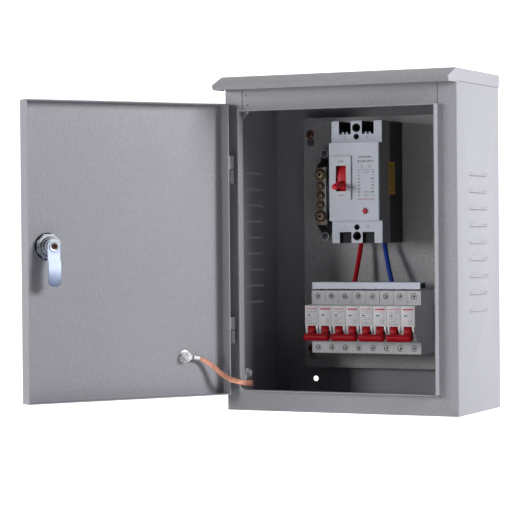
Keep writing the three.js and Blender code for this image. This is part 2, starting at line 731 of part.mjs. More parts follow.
// ---------------------------------------------------------------- hinges
function knuckle(z0, z1) {
  return rod("z", HINGE.x, HINGE.y, HINGE.r, z0, z1, 20);
}
const bore = (z0, z1) => rod("z", HINGE.x, HINGE.y, HINGE.bore, z0, z1, 16);
for (const [name, [z0, split, z1]] of Object.entries(HINGES)) {
  // frame half: lower knuckle, with a leaf flat on the front face, closed under the pin
  add(
    body,
    "hinge_" + name + "_frame_leaf",
    cut(join(knuckle(z0, split - GAP / 2), box(1.6, HINGE.x, -1.8, -GAP, z0, split - GAP / 2)), bore(z0 + 1.4, split + 1)),
    PAINT,
  );
  // door half: upper knuckle, with a leaf on the outside of the door's side flange
  add(
    door,
    "hinge_" + name + "_door_leaf",
    cut(
      join(
        knuckle(split + GAP / 2, z1),
        box(HINGE.x, DOOR.x0 - GAP, HINGE.y - 0.3, HINGE.y + 1.1, split + GAP / 2, z1),
        box(DOOR.x0 - GAP - 1.4, DOOR.x0 - GAP, -15.6, HINGE.y + 1.1, split + GAP / 2, z1),
      ),
      bore(split - 1, z1 - 1.4),
    ),
    PAINT,
  );
  add(body, "hinge_" + name + "_pin", rod("z", HINGE.x, HINGE.y, HINGE.pin, z0 + 1.8, z1 - 1.9, 16), ZINC);
}

// ---------------------------------------------------------------- door
{
  const d = DOOR;
  let pan = cut(
    box(d.x0, d.x1, d.front, d.edge, d.z0, d.z1),
    box(d.x0 + SHEET, d.x1 - SHEET, d.front + SHEET, d.edge + 5, d.z0 + SHEET, d.z1 - SHEET),
  );
  pan = cut(pan, rod("y", LOCK.x, LOCK.z, 11.2, d.front - 2, d.front + 3, 24));
  add(door, "door_shell", pan, PAINT);
}

// ---------------------------------------------------------------- cam lock
{
  const { x, z } = LOCK;
  const skin = DOOR.front;
  const inner = skin + SHEET;
  // housing: outer flange with a bevelled rim, threaded body through the skin
  let housing = turned(
    [
      [0, -4.2],
      [11.5, -4.2],
      [14.2, -3.0],
      [15.0, -1.2],
      [15.0, -GAP],
      [10.7, -GAP],
      [10.7, 10.0],
      [9.4, 10.6],
      [9.4, 17.0],
      [8.6, 17.6],
      [0, 17.6],
    ],
    24,
  );
  housing = cut(housing, rod("y", 0, 0, 6.2, -6, 20, 18));
  add(door, "lock_housing", housing, CHROME, [x, skin, z]);
  add(door, "lock_gasket", cut(rod("y", 0, 0, 16.2, 0, 1.3, 16), rod("y", 0, 0, 11.1, -1, 3, 24)), RUBBER, [x, inner + GAP, z]);
  // eight-sided nut with a turned recess round the body
  const eight = ring(0, 0, 15.6, 8, Math.PI / 8);
  let nut = join(prism("y", eight, 0, 3.4), rod("y", 0, 0, 13.4, 3.0, 4.6, 24));
  nut = cut(nut, rod("y", 0, 0, 11.1, -1, 8, 24), rod("y", 0, 0, 12.4, 3.2, 8, 24));
  add(door, "lock_nut", nut, CHROME, [x, inner + GAP + 1.3 + GAP, z]);
  // plug: key face, turned body, square tip for the cam
  let plug = join(rod("y", 0, 0, 5.8, -4.4, 18.1, 18), box(-3.5, 3.5, 18, 20.6, -3.5, 3.5));
  plug = cut(plug, box(-0.7, 0.7, -6, -1.8, -3.6, 3.6), rod("y", 0, 0, 2.2, 12, 22, 12));
  add(door, "lock_plug", plug, CHROME, [x, skin, z]);
  // cam: flat round the square hole, then cranked inwards to pass behind the front flange
  const w = LOCK.width / 2;
  const outline = [];
  for (let i = 0; i <= 10; i++) {
    const t = (Math.PI * i) / 10;
    outline.push([w * Math.cos(t), w * Math.sin(t)]);
  }
  outline.push([-w, -LOCK.reach + 5], [-w + 1.5, -LOCK.reach + 2], [-w + 4.2, -LOCK.reach], [w - 4.2, -LOCK.reach], [w - 1.5, -LOCK.reach + 2], [w, -LOCK.reach + 5]);
  const crank = [
    [18.4, 20],
    [18.4, -15],
    [21.3, -20.5],
    [21.3, -60],
    [23.6, -60],
    [23.6, -19.5],
    [20.8, -14],
    [20.8, 20],
  ];
  let cam = prism("x", crank, -20, 20).intersect(prism("y", outline, 10, 30));
  cam = cut(cam, box(-3.85, 3.85, 10, 22, -3.85, 3.85));
  add(door, "lock_cam", cam, CHROME, [x, skin, z]);
  // cam screw: mirrored pan head facing into the box
  const screw = cut(
    turned(
      [
        [0, 13],
        [1.8, 13],
        [1.8, 21.1],
        [5.9, 21.1],
        [5.9, 22.0],
        [3.5, 22.1],
        [3.3, 23.6],
        [2.3, 24.4],
        [0, 24.6],
      ],
      20,
    ),
    box(-2.0, 2.0, 23.3, 26, -0.5, 0.5),
    box(-0.5, 0.5, 23.3, 26, -2.0, 2.0),
  );
  add(door, "lock_cam_screw", screw, COPPERY, [x, skin, z]);
}

// ---------------------------------------------------------------- earth studs, lugs and strap
// Stud assembly about +y: base washer and nut on the welded stud.
function earthStud(length) {
  const hex = ring(0, 0, 4.7, 6);
  return join(rod("y", 0, 0, 6.4, 0, 1.2, 20), prism("y", hex, 1, 5.2), rod("y", 0, 0, 2.4, 0, length, 14));
}
const hexNut = () => cut(prism("y", ring(0, 0, 4.7, 6, 0.3), 0, 3.2), rod("y", 0, 0, 2.8, -1, 5, 14));
// Ring lug about +y with its crimp barrel along -x of length `long`.
const ringLug = () =>
  join(
    cut(rod("y", 0, 0, 6.0, 0, 1.2, 20), rod("y", 0, 0, 2.8, -1, 3, 14)),
    box(-9.5, -4.9, 0, 1.2, -2.6, 2.6),
    rod("x", 0.9, 0, 2.4, -16.5, -8.5, 12),
  );
const STUD_DOOR = { x: 70.5, z: 67.0 };
const STUD_BOX = { y: 41.0, z: 42.5 };
add(door, "earth_stud_door", earthStud(11.5), ZINC, [STUD_DOOR.x, DOOR.front + SHEET + GAP, STUD_DOOR.z]);
add(door, "earth_lug_door", ringLug(), ZINC, [STUD_DOOR.x, DOOR.front + SHEET + GAP + 5.5, STUD_DOOR.z], [0, -8, 0]);
add(door, "earth_nut_door", hexNut(), ZINC, [STUD_DOOR.x, DOOR.front + SHEET + GAP + 7.0, STUD_DOOR.z]);
{
  // box stud stands along +x on the left wall; its lug barrel points forward and down
  const g = new THREE.Group();
  g.position.set(SHEET + GAP, STUD_BOX.y, STUD_BOX.z);
  g.rotation.set(0, 0, -Math.PI / 2);
  body.add(g);
  add(g, "earth_stud_box", earthStud(11.5), ZINC);
  add(g, "earth_lug_box", ringLug(), ZINC, [0, 5.5, 0], [0, 180 + 32, 0]);
  add(g, "earth_nut_box", hexNut(), ZINC, [0, 7.0, 0]);
}

// Earth strap: a flat braid from the door lug over the door's edge and the frame lip to the box lug. Each row is a point
// of its middle line, the direction that its flat side faces there, and its width.
const STRAP_THICK = 2.1;
const STRAP = [
  [[-19.9, -34.8, 64.4], [0.816, -0.578, 0], 4.2],
  [[-15.5, -30.4, 61.6], [0.816, -0.578, 0.05], 5.5],
  [[-10.2, -26.9, 57.6], [0.8, -0.58, 0.1], 6.3],
  [[-4.5, -24.2, 52.3], [0.79, -0.58, 0.14], 6.7],
  [[1.5, -22.1, 46.5], [0.78, -0.58, 0.18], 6.8],
  [[7.5, -20.4, 42.3], [0.77, -0.6, 0.2], 6.9],
  [[13.3, -18.5, 39.0], [0.77, -0.6, 0.2], 7],
  [[18.7, -16.0, 37.1], [0.79, -0.58, 0.2], 7],
  [[23.4, -12.5, 35.2], [0.84, -0.52, 0.18], 7],
  [[27.0, -7.8, 34.0], [0.9, -0.4, 0.15], 7],
  [[29.4, -2.2, 33.4], [0.96, -0.25, 0.1], 7],
  [[30.4, 3.8, 33.2], [0.99, -0.08, 0.1], 7],
  [[29.4, 9.9, 32.8], [0.98, 0.15, 0.1], 6.9],
  [[26.1, 15.3, 32.0], [0.94, 0.32, 0.1], 6.7],
  [[20.9, 19.2, 31.6], [0.92, 0.38, 0.11], 6.2],
  [[14.8, 21.9, 32.0], [0.94, 0.33, 0.12], 5.3],
  [[8.3, 25.2, 32.8], [0.99, 0.12, 0.1], 4.4],
];
// A flat bar with rounded edges swept along a smooth curve.
function ribbon(route, thick, steps) {
  const curve = new THREE.CatmullRomCurve3(route.map(([p]) => new THREE.Vector3(...p)), false, "centripetal");
  const faces = route.map(([, f]) => new THREE.Vector3(...f));
  const t = thick / 2;
  const section = [
    [-0.5, 0],
    [-0.43, t],
    [0, t],
    [0.43, t],
    [0.5, 0],
    [0.43, -t],
    [0, -t],
    [-0.43, -t],
  ];
  const n = section.length;
  const position = [];
  const index = [];
  for (let i = 0; i <= steps; i++) {
    const k = (i / steps) * (route.length - 1);
    const j = Math.min(Math.floor(k), route.length - 2);
    const p = curve.getPoint(i / steps);
    const along = curve.getTangent(i / steps).normalize();
    const face = faces[j].clone().lerp(faces[j + 1], k - j);
    const width = route[j][2] + (route[j + 1][2] - route[j][2]) * (k - j);
    const across = new THREE.Vector3().crossVectors(along, face).normalize();
    const out = new THREE.Vector3().crossVectors(across, along).normalize();
    for (const [a, b] of section) {
      const q = p.clone().addScaledVector(across, a * width).addScaledVector(out, b);
      position.push(q.x, q.y, q.z);
    }
    if (i)
      for (let m = 0; m < n; m++) {
        const a0 = (i - 1) * n + m;
        const a1 = (i - 1) * n + ((m + 1) % n);
        index.push(a0, a1, a1 + n, a0, a1 + n, a0 + n);
      }
  }
  for (let m = 1; m < n - 1; m++) {
    index.push(0, m + 1, m);
    index.push(steps * n, steps * n + m, steps * n + m + 1);
  }
  const g = new THREE.BufferGeometry();
  g.setAttribute("position", new THREE.BufferAttribute(new Float32Array(position), 3));
  g.setIndex(index);
  return toSolid(g);
}
add(body, "earth_strap", ribbon(STRAP, STRAP_THICK, 32), COPPER);

export default root;
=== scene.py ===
import math
import random

import bmesh
import bpy
from mathutils import Matrix, Vector


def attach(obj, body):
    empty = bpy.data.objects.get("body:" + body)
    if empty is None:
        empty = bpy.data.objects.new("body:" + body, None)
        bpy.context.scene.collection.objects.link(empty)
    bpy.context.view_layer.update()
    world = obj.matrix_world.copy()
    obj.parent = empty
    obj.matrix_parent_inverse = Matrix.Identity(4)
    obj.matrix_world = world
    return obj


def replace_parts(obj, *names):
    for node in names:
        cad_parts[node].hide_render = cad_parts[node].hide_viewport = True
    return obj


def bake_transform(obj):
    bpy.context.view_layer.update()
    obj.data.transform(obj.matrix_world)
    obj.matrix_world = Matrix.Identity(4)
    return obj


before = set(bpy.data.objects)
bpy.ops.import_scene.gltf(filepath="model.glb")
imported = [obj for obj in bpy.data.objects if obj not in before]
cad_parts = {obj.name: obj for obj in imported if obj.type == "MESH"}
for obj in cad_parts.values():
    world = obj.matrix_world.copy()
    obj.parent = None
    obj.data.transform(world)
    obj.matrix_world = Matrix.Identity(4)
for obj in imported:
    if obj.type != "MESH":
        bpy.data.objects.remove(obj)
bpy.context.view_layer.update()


W, D, H = 300.0, 146.5, 404.3


def P(x, y, z):
    return Vector(((x - W / 2) / 1000, (y - D) / 1000, (z - H / 2) / 1000))


# ------------------------------------------------------------------ camera
cam_data = bpy.data.cameras.new("camera")
cam = bpy.data.objects.new("camera", cam_data)
bpy.context.scene.collection.objects.link(cam)
rot = (
    Matrix.Rotation(math.radians(25.55), 3, "Z")
    @ Matrix.Rotation(math.radians(-0.77), 3, "X")
    @ Matrix.Rotation(math.radians(0.5), 3, "Y")
)
right, ahead, up = rot.col[0], rot.col[1], rot.col[2]
m = Matrix.Identity(4)
for i in range(3):
    m[i][0], m[i][1], m[i][2] = right[i], up[i], -ahead[i]
m.translation = P(1138.28, -2293.47, 218.24)
cam.matrix_world = m
cam_data.sensor_width = 36
cam_data.lens = 2095.67 / 520 * 36
cam_data.shift_x = (260 - 257.24) / 520
cam_data.shift_y = (259.1 - 260) / 520
cam_data.clip_end = 50
bpy.context.scene.camera = cam


# ------------------------------------------------------------------ materials
class Nodes:
    def __init__(self, name):
        self.mat = bpy.data.materials.new(name)
        self.mat.use_nodes = True
        self.t = self.mat.node_tree
        self.b = self.t.nodes["Principled BSDF"]
        self.c = self.t.nodes.new("ShaderNodeTexCoord").outputs["Object"]

    def n(self, kind, **values):
        node = self.t.nodes.new("ShaderNode" + kind)
        for k, v in values.items():
            if k in node.inputs:
                node.inputs[k].default_value = v
            else:
                setattr(node, k, v)
        return node

    def link(self, a, b):
        self.t.links.new(a, b)

    def noise(self, scale, detail=2.0, rough=0.5, stretch=None):
        src = self.c
        if stretch:
            mp = self.n("Mapping")
            mp.inputs["Scale"].default_value = stretch
            self.link(self.c, mp.inputs["Vector"])
            src = mp.outputs["Vector"]
        nz = self.n("TexNoise", Scale=scale, Detail=detail, Roughness=rough)
        self.link(src, nz.inputs["Vector"])
        return nz.outputs["Fac"]

    def ramp(self, fac, lo, hi, c0, c1):
        r = self.n("ValToRGB")
        e = r.color_ramp.elements
        e[0].position, e[1].position = lo, hi
        e[0].color = (*c0, 1) if len(c0) == 3 else c0
        e[1].color = (*c1, 1) if len(c1) == 3 else c1
        self.link(fac, r.inputs["Fac"])
        return r.outputs["Color"]

    def span(self, fac, a, b, lo, hi):
        r = self.n("MapRange")
        for k, v in zip(("From Min", "From Max", "To Min", "To Max"), (a, b, lo, hi)):
            r.inputs[k].default_value = v
        self.link(fac, r.inputs["Value"])
        return r.outputs["Result"]

    def mix(self, a, b, fac, kind="MIX"):
        x = self.n("Mix", data_type="RGBA", blend_type=kind)
        for sock, val in ((x.inputs[6], a), (x.inputs[7], b), (x.inputs[0], fac)):
            if hasattr(val, "is_linked"):
                self.link(val, sock)
            else:
                sock.default_value = val
        return x.outputs[2]

    def bump(self, heights):
        last = None
        for fac, dist, strength in heights:
            bp = self.n("Bump", Strength=strength, Distance=dist)
            self.link(fac, bp.inputs["Height"])
            if last is not None:
                self.link(last, bp.inputs["Normal"])
            last = bp.outputs["Normal"]
        self.link(last, self.b.inputs["Normal"])

    def set(self, **v):
        names = {"color": "Base Color", "rough": "Roughness", "metal": "Metallic", "coat": "Coat Weight", "coat_rough": "Coat Roughness", "aniso": "Anisotropic", "spec": "Specular IOR Level", "sheen": "Sheen Weight"}
        for k, val in v.items():
            s = self.b.inputs[names[k]]
            if hasattr(val, "is_linked"):
                self.link(val, s)
            elif k == "color":
                s.default_value = (*val, 1)
            else:
                s.default_value = val
        return self


def shade(c, k):
    return tuple(min(1, v * k) for v in c)


def paint(name, c, peel=1.0, rough=0.48):
    """Powder-coated sheet steel: orange peel at two sizes, faint mottling, specks, and slightly paler edges that are
    partly wear and partly painted highlight.
    """
    n = Nodes(name)
    big = n.noise(9, 3)
    speck = n.noise(520, 2, 0.7)
    col = n.ramp(big, 0.3, 0.7, shade(c, 0.965), shade(c, 1.03))
    col = n.mix(col, n.ramp(speck, 0.35, 0.65, shade(c, 0.8), shade(c, 1.14)), 0.5 * min(1.6, peel))
    bev = n.n("Bevel", samples=4)
    bev.inputs["Radius"].default_value = 0.0011
    geo = n.n("NewGeometry")
    dot = n.n("VectorMath", operation="DOT_PRODUCT")
    n.link(bev.outputs["Normal"], dot.inputs[0])
    n.link(geo.outputs["Normal"], dot.inputs[1])
    # edges paler by the bevel normal: partly wear, partly painted highlight where edges catch light
    edge = n.span(dot.outputs["Value"], 0.86, 0.995, 0.34, 0.0)
    col = n.mix(col, (*shade(c, 1.32), 1), edge)
    n.set(color=col, rough=n.span(n.noise(260, 2), 0.3, 0.7, rough - 0.05, rough + 0.07), metal=0.0, spec=0.45)
    n.bump([(n.noise(300, 2, 0.55), 0.0005, 0.42 * peel), (n.noise(1000, 2, 0.5), 0.0002, 0.36 * peel)])
    return n.mat


def plastic(name, c, rough=0.42, grain=1.0, coat=0.0, spec=0.5):
    n = Nodes(name)
    col = n.ramp(n.noise(26, 3), 0.3, 0.7, shade(c, 0.95), shade(c, 1.04))
    col = n.mix(col, n.ramp(n.noise(900, 2), 0.35, 0.65, shade(c, 0.93), shade(c, 1.05)), 0.4)
    n.set(color=col, rough=n.span(n.noise(180, 2), 0.3, 0.7, rough - 0.06, rough + 0.08), coat=coat, coat_rough=0.2, spec=spec)
    n.bump([(n.noise(1500, 2), 0.00008, 0.35 * grain)])
    return n.mat


def metal(name, c, rough=0.28, brush=0.5, stretch=(1, 1, 12), tarnish=None):
    n = Nodes(name)
    col = n.ramp(n.noise(60, 4, 0.6), 0.3, 0.72, shade(c, 0.86), shade(c, 1.06))
    if tarnish:
        col = n.mix(col, (*tarnish, 1), n.span(n.noise(190, 4, 0.65), 0.5, 0.72, 0.0, 0.55))
    scr = n.noise(1400, 2, 0.6, stretch)
    n.set(color=col, metal=1.0, rough=n.span(scr, 0.3, 0.7, rough * 0.7, rough * 1.4), aniso=0.3)
    n.bump([(scr, 0.00006, 0.3 * brush)])
    return n.mat


PAINT = paint("paint_warm_grey", (0.36, 0.357, 0.388))
PAINT_PLATE = paint("paint_plate_grey", (0.43, 0.427, 0.434), 1.6, 0.42)
# the hinge paint is a lighter copy of the box paint: painted light standing in for the light the knuckles catch
PAINT_HINGE = paint("paint_hinge_grey_painted_light", (0.6, 0.595, 0.615), 0.6, 0.36)
ZINC = metal("zinc_plate", (0.74, 0.75, 0.78), 0.26, 0.6)
CHROME = metal("chrome_plate", (0.86, 0.87, 0.9), 0.09, 0.12)
CHROME_CAM = metal("cam_bright_plate", (0.84, 0.87, 0.93), 0.13, 0.25, (1, 1, 0.08))
YELLOW_ZINC = metal("yellow_passivate", (0.62, 0.4, 0.26), 0.3, 0.4, tarnish=(0.4, 0.2, 0.12))
PLATE_SCREW = metal("plate_screw_passivate", (0.5, 0.31, 0.24), 0.34, 0.5, tarnish=(0.3, 0.14, 0.09))
# copper darkened almost to black: painted shade for the combs seen through the gap under the busbar channel
COMB = metal("comb_copper_painted_shade", (0.05, 0.036, 0.03), 0.5, 0.3, tarnish=(0.03, 0.022, 0.02))
BRASS = metal("brass", (0.78, 0.62, 0.36), 0.24, 0.4, tarnish=(0.52, 0.38, 0.18))


def part_metal(name, c, m=0.5, rough=0.36, dark=None, grain=0.4):
    """A plated part whose dull coating scatters part of the light."""
    n = Nodes(name)
    col = n.ramp(n.noise(240, 4, 0.62), 0.3, 0.7, dark or shade(c, 0.78), shade(c, 1.1))
    n.set(color=col, metal=m, rough=n.span(n.noise(700, 2), 0.3, 0.7, rough * 0.8, rough * 1.25), spec=0.5)
    n.bump([(n.noise(900, 2), 0.00006, grain)])
    return n.mat


BAR = part_metal("nickelled_bar", (0.42, 0.405, 0.37), 0.45, 0.42, (0.2, 0.18, 0.15))
# plated screw heads made near-white and barely metallic: painted highlight in place of their glint
HEAD = part_metal("screw_head_painted_highlight", (0.93, 0.94, 0.97), 0.06, 0.3)
SHUTTER = plastic("slot_grey_moulding", (0.04, 0.042, 0.047), 0.75, spec=0.1)
HEAD_DIM = part_metal("screw_head_blue_grey", (0.3, 0.35, 0.42), 0.5, 0.34)
NUT = part_metal("lock_nut_plate", (0.74, 0.78, 0.86), 0.4, 0.3)
RUST_RING = part_metal("plate_screw_ring", (0.52, 0.24, 0.2), 0.4, 0.36, (0.3, 0.1, 0.08))
BRASS_DULL = part_metal("brass_dull", (0.42, 0.3, 0.17), 0.55, 0.3, (0.16, 0.1, 0.05))
# pale, lightly metallic brass for screw cores: brass colour plus painted highlight
BRASS_PALE = part_metal("brass_pale_painted_highlight", (0.86, 0.7, 0.5), 0.25, 0.3, (0.46, 0.32, 0.2))
COPPERY = part_metal("bar_screw_coppery", (0.36, 0.2, 0.14), 0.5, 0.34, (0.12, 0.05, 0.035))
WHITE = plastic("white_moulding", (0.71, 0.7, 0.72), 0.4)
# a whiter copy of the case moulding for the raised cheeks and window rims: painted light
CHEEK = plastic("cheek_moulding_painted_light", (0.93, 0.94, 0.96), 0.3)
FIELD = plastic("label_field", (0.72, 0.71, 0.73), 0.42)
GREY = plastic("light_grey_moulding", (0.56, 0.6, 0.68), 0.42)
GREY_RAISED = plastic("window_plate_moulding", (0.57, 0.6, 0.66), 0.36)
BUS = plastic("busbar_channel_grey", (0.76, 0.81, 0.93), 0.34)
BLACK = plastic("black_moulding", (0.012, 0.012, 0.014), 0.38)
FOOT = plastic("black_foot_moulding", (0.02, 0.02, 0.024), 0.34)
# near-black for holes, wells, grooves, cross recesses and gaps: painted shade
DARK = plastic("recess_painted_shade", (0.006, 0.006, 0.007), 0.6)
GAPDARK = plastic("joint_line_dark", (0.09, 0.088, 0.09), 0.7)
RED = plastic("toggle_red", (0.42, 0.003, 0.011), 0.42, 0.5, 0.0, 0.22)
LEVER_RED = plastic("lever_red", (0.72, 0.016, 0.028), 0.46, 0.5, 0.0, 0.35)
BUTTON_RED = plastic("button_red", (0.5, 0.006, 0.016), 0.34, 0.4, 0.0, 0.3)
RUBBER = plastic("gasket_rubber", (0.014, 0.014, 0.016), 0.62, 1.6)
WIRE_RED = plastic("wire_red_pvc", (0.52, 0.004, 0.014), 0.46, 0.5, 0.0, 0.2)
WIRE_BLUE = plastic("wire_blue_pvc", (0.012, 0.06, 0.38), 0.46, 0.5, 0.0, 0.2)
PRINT = plastic("print_grey", (0.2, 0.2, 0.225), 0.6)
PRINT_SOFT = plastic("print_pale_grey", (0.37, 0.38, 0.42), 0.6)
PRINT_PINK = plastic("print_rose", (0.62, 0.2, 0.3), 0.55)
PRINT_RED = plastic("print_crimson", (0.62, 0.012, 0.07), 0.5)
GREEN = plastic("flag_green", (0.012, 0.2, 0.13), 0.35)
YELLOW = plastic("seal_yellow", (0.4, 0.26, 0.015), 0.5)
WELD = metal("weld_spot", (0.35, 0.35, 0.36), 0.5, 0.8)
WELD_DARK = plastic("weld_dimple", (0.12, 0.118, 0.125), 0.6)


# ------------------------------------------------------------------ finishing the CAD nodes
def smooth_group():
    g = bpy.data.node_groups.new("smooth_by_angle", "GeometryNodeTree")
    g.interface.new_socket("Geometry", in_out="INPUT", socket_type="NodeSocketGeometry")
    g.interface.new_socket("Geometry", in_out="OUTPUT", socket_type="NodeSocketGeometry")
    gi, go = g.nodes.new("NodeGroupInput"), g.nodes.new("NodeGroupOutput")
    merge = g.nodes.new("GeometryNodeMergeByDistance")
    merge.inputs["Distance"].default_value = 4e-6
    sm = g.nodes.new("GeometryNodeSetShadeSmooth")
    store = g.nodes.new("GeometryNodeStoreNamedAttribute")
    store.data_type, store.domain = "BOOLEAN", "EDGE"
    store.inputs["Name"].default_value = "sharp_edge"
    ang = g.nodes.new("GeometryNodeInputMeshEdgeAngle")
    cmp = g.nodes.new("FunctionNodeCompare")
    cmp.operation = "GREATER_THAN"
    cmp.inputs[1].default_value = math.radians(33)
    g.links.new(ang.outputs[0], cmp.inputs[0])
    g.links.new(gi.outputs[0], merge.inputs[0])
    g.links.new(merge.outputs[0], sm.inputs[0])
    g.links.new(sm.outputs[0], store.inputs[0])
    g.links.new(cmp.outputs[0], [s for s in store.inputs if s.name == "Value" and s.type == "BOOLEAN"][0])
    g.links.new(store.outputs[0], go.inputs[0])
    return g


SMOOTH = smooth_group()


def finish_node(name, mat, bevel=0.0):
    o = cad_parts[name]
    for s in o.material_slots:
        s.material = mat
    if not o.material_slots:
        o.data.materials.append(mat)
    md = o.modifiers.new("smooth", "NODES")
    md.node_group = SMOOTH
    if bevel:
        b = o.modifiers.new("bevel", "BEVEL")
        b.width = bevel / 1000
        b.segments = 2
        b.limit_method = "ANGLE"
        b.angle_limit = math.radians(40)
        b.harden_normals = True
        b.use_clamp_overlap = True


for nm in ("side_panel_left", "side_panel_right", "top_panel", "bottom_panel", "back_panel", "rain_hood", "door_shell"):
    finish_node(nm, PAINT, 0.22)
finish_node("mounting_plate", PAINT_PLATE, 0.2)
for nm in ("hinge_upper_frame_leaf", "hinge_lower_frame_leaf", "hinge_upper_door_leaf", "hinge_lower_door_leaf"):
    finish_node(nm, PAINT_HINGE, 0.25)
for nm in ("hinge_upper_pin", "hinge_lower_pin", "din_rail"):
    finish_node(nm, ZINC)
for nm in ("foot_screw_upper", "foot_screw_lower", "earth_stud_door", "earth_lug_door", "earth_nut_door", "earth_stud_box", "earth_lug_box", "earth_nut_box"):
    finish_node(nm, HEAD, 0.15)
for i in range(1, 5):
    finish_node("plate_screw_%d" % i, PLATE_SCREW, 0.15)
    finish_node("breaker_case_%d" % i, WHITE, 0.3)
finish_node("busbar_housing", BUS, 0.2)
finish_node("busbar_live", COMB)
finish_node("busbar_neutral", COMB)
finish_node("main_breaker_base", BLACK)
# painted shade: the cover's right-facing sides are mixed towards dark grey
n_ = Nodes("light_grey_moulding_painted_shade_sides")
facing = n_.n("NewGeometry")
split = n_.n("SeparateXYZ")
n_.link(facing.outputs["Normal"], split.inputs[0])
col = n_.ramp(n_.noise(26, 3), 0.3, 0.7, shade((0.56, 0.6, 0.68), 0.95), shade((0.56, 0.6, 0.68), 1.04))
col = n_.mix(col, (0.17, 0.17, 0.18, 1), n_.span(split.outputs["X"], 0.75, 0.95, 0.0, 1.0))
n_.set(color=col, rough=0.42, spec=0.5)
n_.bump([(n_.noise(1500, 2), 0.00008, 0.35)])
finish_node("main_breaker_cover", n_.mat)
finish_node("main_breaker_escutcheon", GREY_RAISED, 0.3)
finish_node("main_breaker_test_button", BUTTON_RED, 0.2)
finish_node("terminal_bar", BAR, 0.35)
for nm in ("terminal_bar_end_screw_1", "terminal_bar_end_screw_2", "terminal_bar_screw_1", "terminal_bar_screw_2", "terminal_bar_screw_3"):
    finish_node(nm, BRASS, 0.2)
finish_node("terminal_bar_foot_upper", FOOT, 0.5)
finish_node("terminal_bar_foot_lower", FOOT, 0.5)
finish_node("lock_housing", NUT, 0.25)
finish_node("lock_plug", NUT, 0.25)
finish_node("lock_nut", NUT, 0.3)
# cam colour runs from dark blue at the bottom to near-white at the top: painted reflection and shade on the plated
# steel
n_ = Nodes("cam_plate_painted_reflection_grade")
span_ = n_.n("SeparateXYZ")
n_.link(n_.t.nodes["Texture Coordinate"].outputs["Generated"], span_.inputs[0])
painted_reflection_ramp = n_.n("ValToRGB")
cr = painted_reflection_ramp.color_ramp
cr.elements[0].position, cr.elements[0].color = 0.0, (0.13, 0.17, 0.28, 1)
cr.elements[1].position, cr.elements[1].color = 1.0, (0.82, 0.92, 1.0, 1)
for at, c_ in ((0.22, (0.3, 0.38, 0.56, 1)), (0.38, (0.52, 0.62, 0.82, 1)), (0.8, (0.6, 0.71, 0.92, 1))):
    cr.elements.new(at).color = c_
n_.link(span_.outputs["Z"], painted_reflection_ramp.inputs["Fac"])
n_.set(color=n_.mix(painted_reflection_ramp.outputs["Color"], n_.ramp(n_.noise(420, 3, 0.6, (1, 1, 0.08)), 0.3, 0.7, (0.9, 0.9, 0.9), (1, 1, 1)), 0.6, "MULTIPLY"), metal=0.08, rough=0.36, spec=0.5)
finish_node("lock_cam", n_.mat, 0.35)
finish_node("lock_cam_screw", YELLOW_ZINC, 0.2)
finish_node("lock_gasket", RUBBER, 0.2)


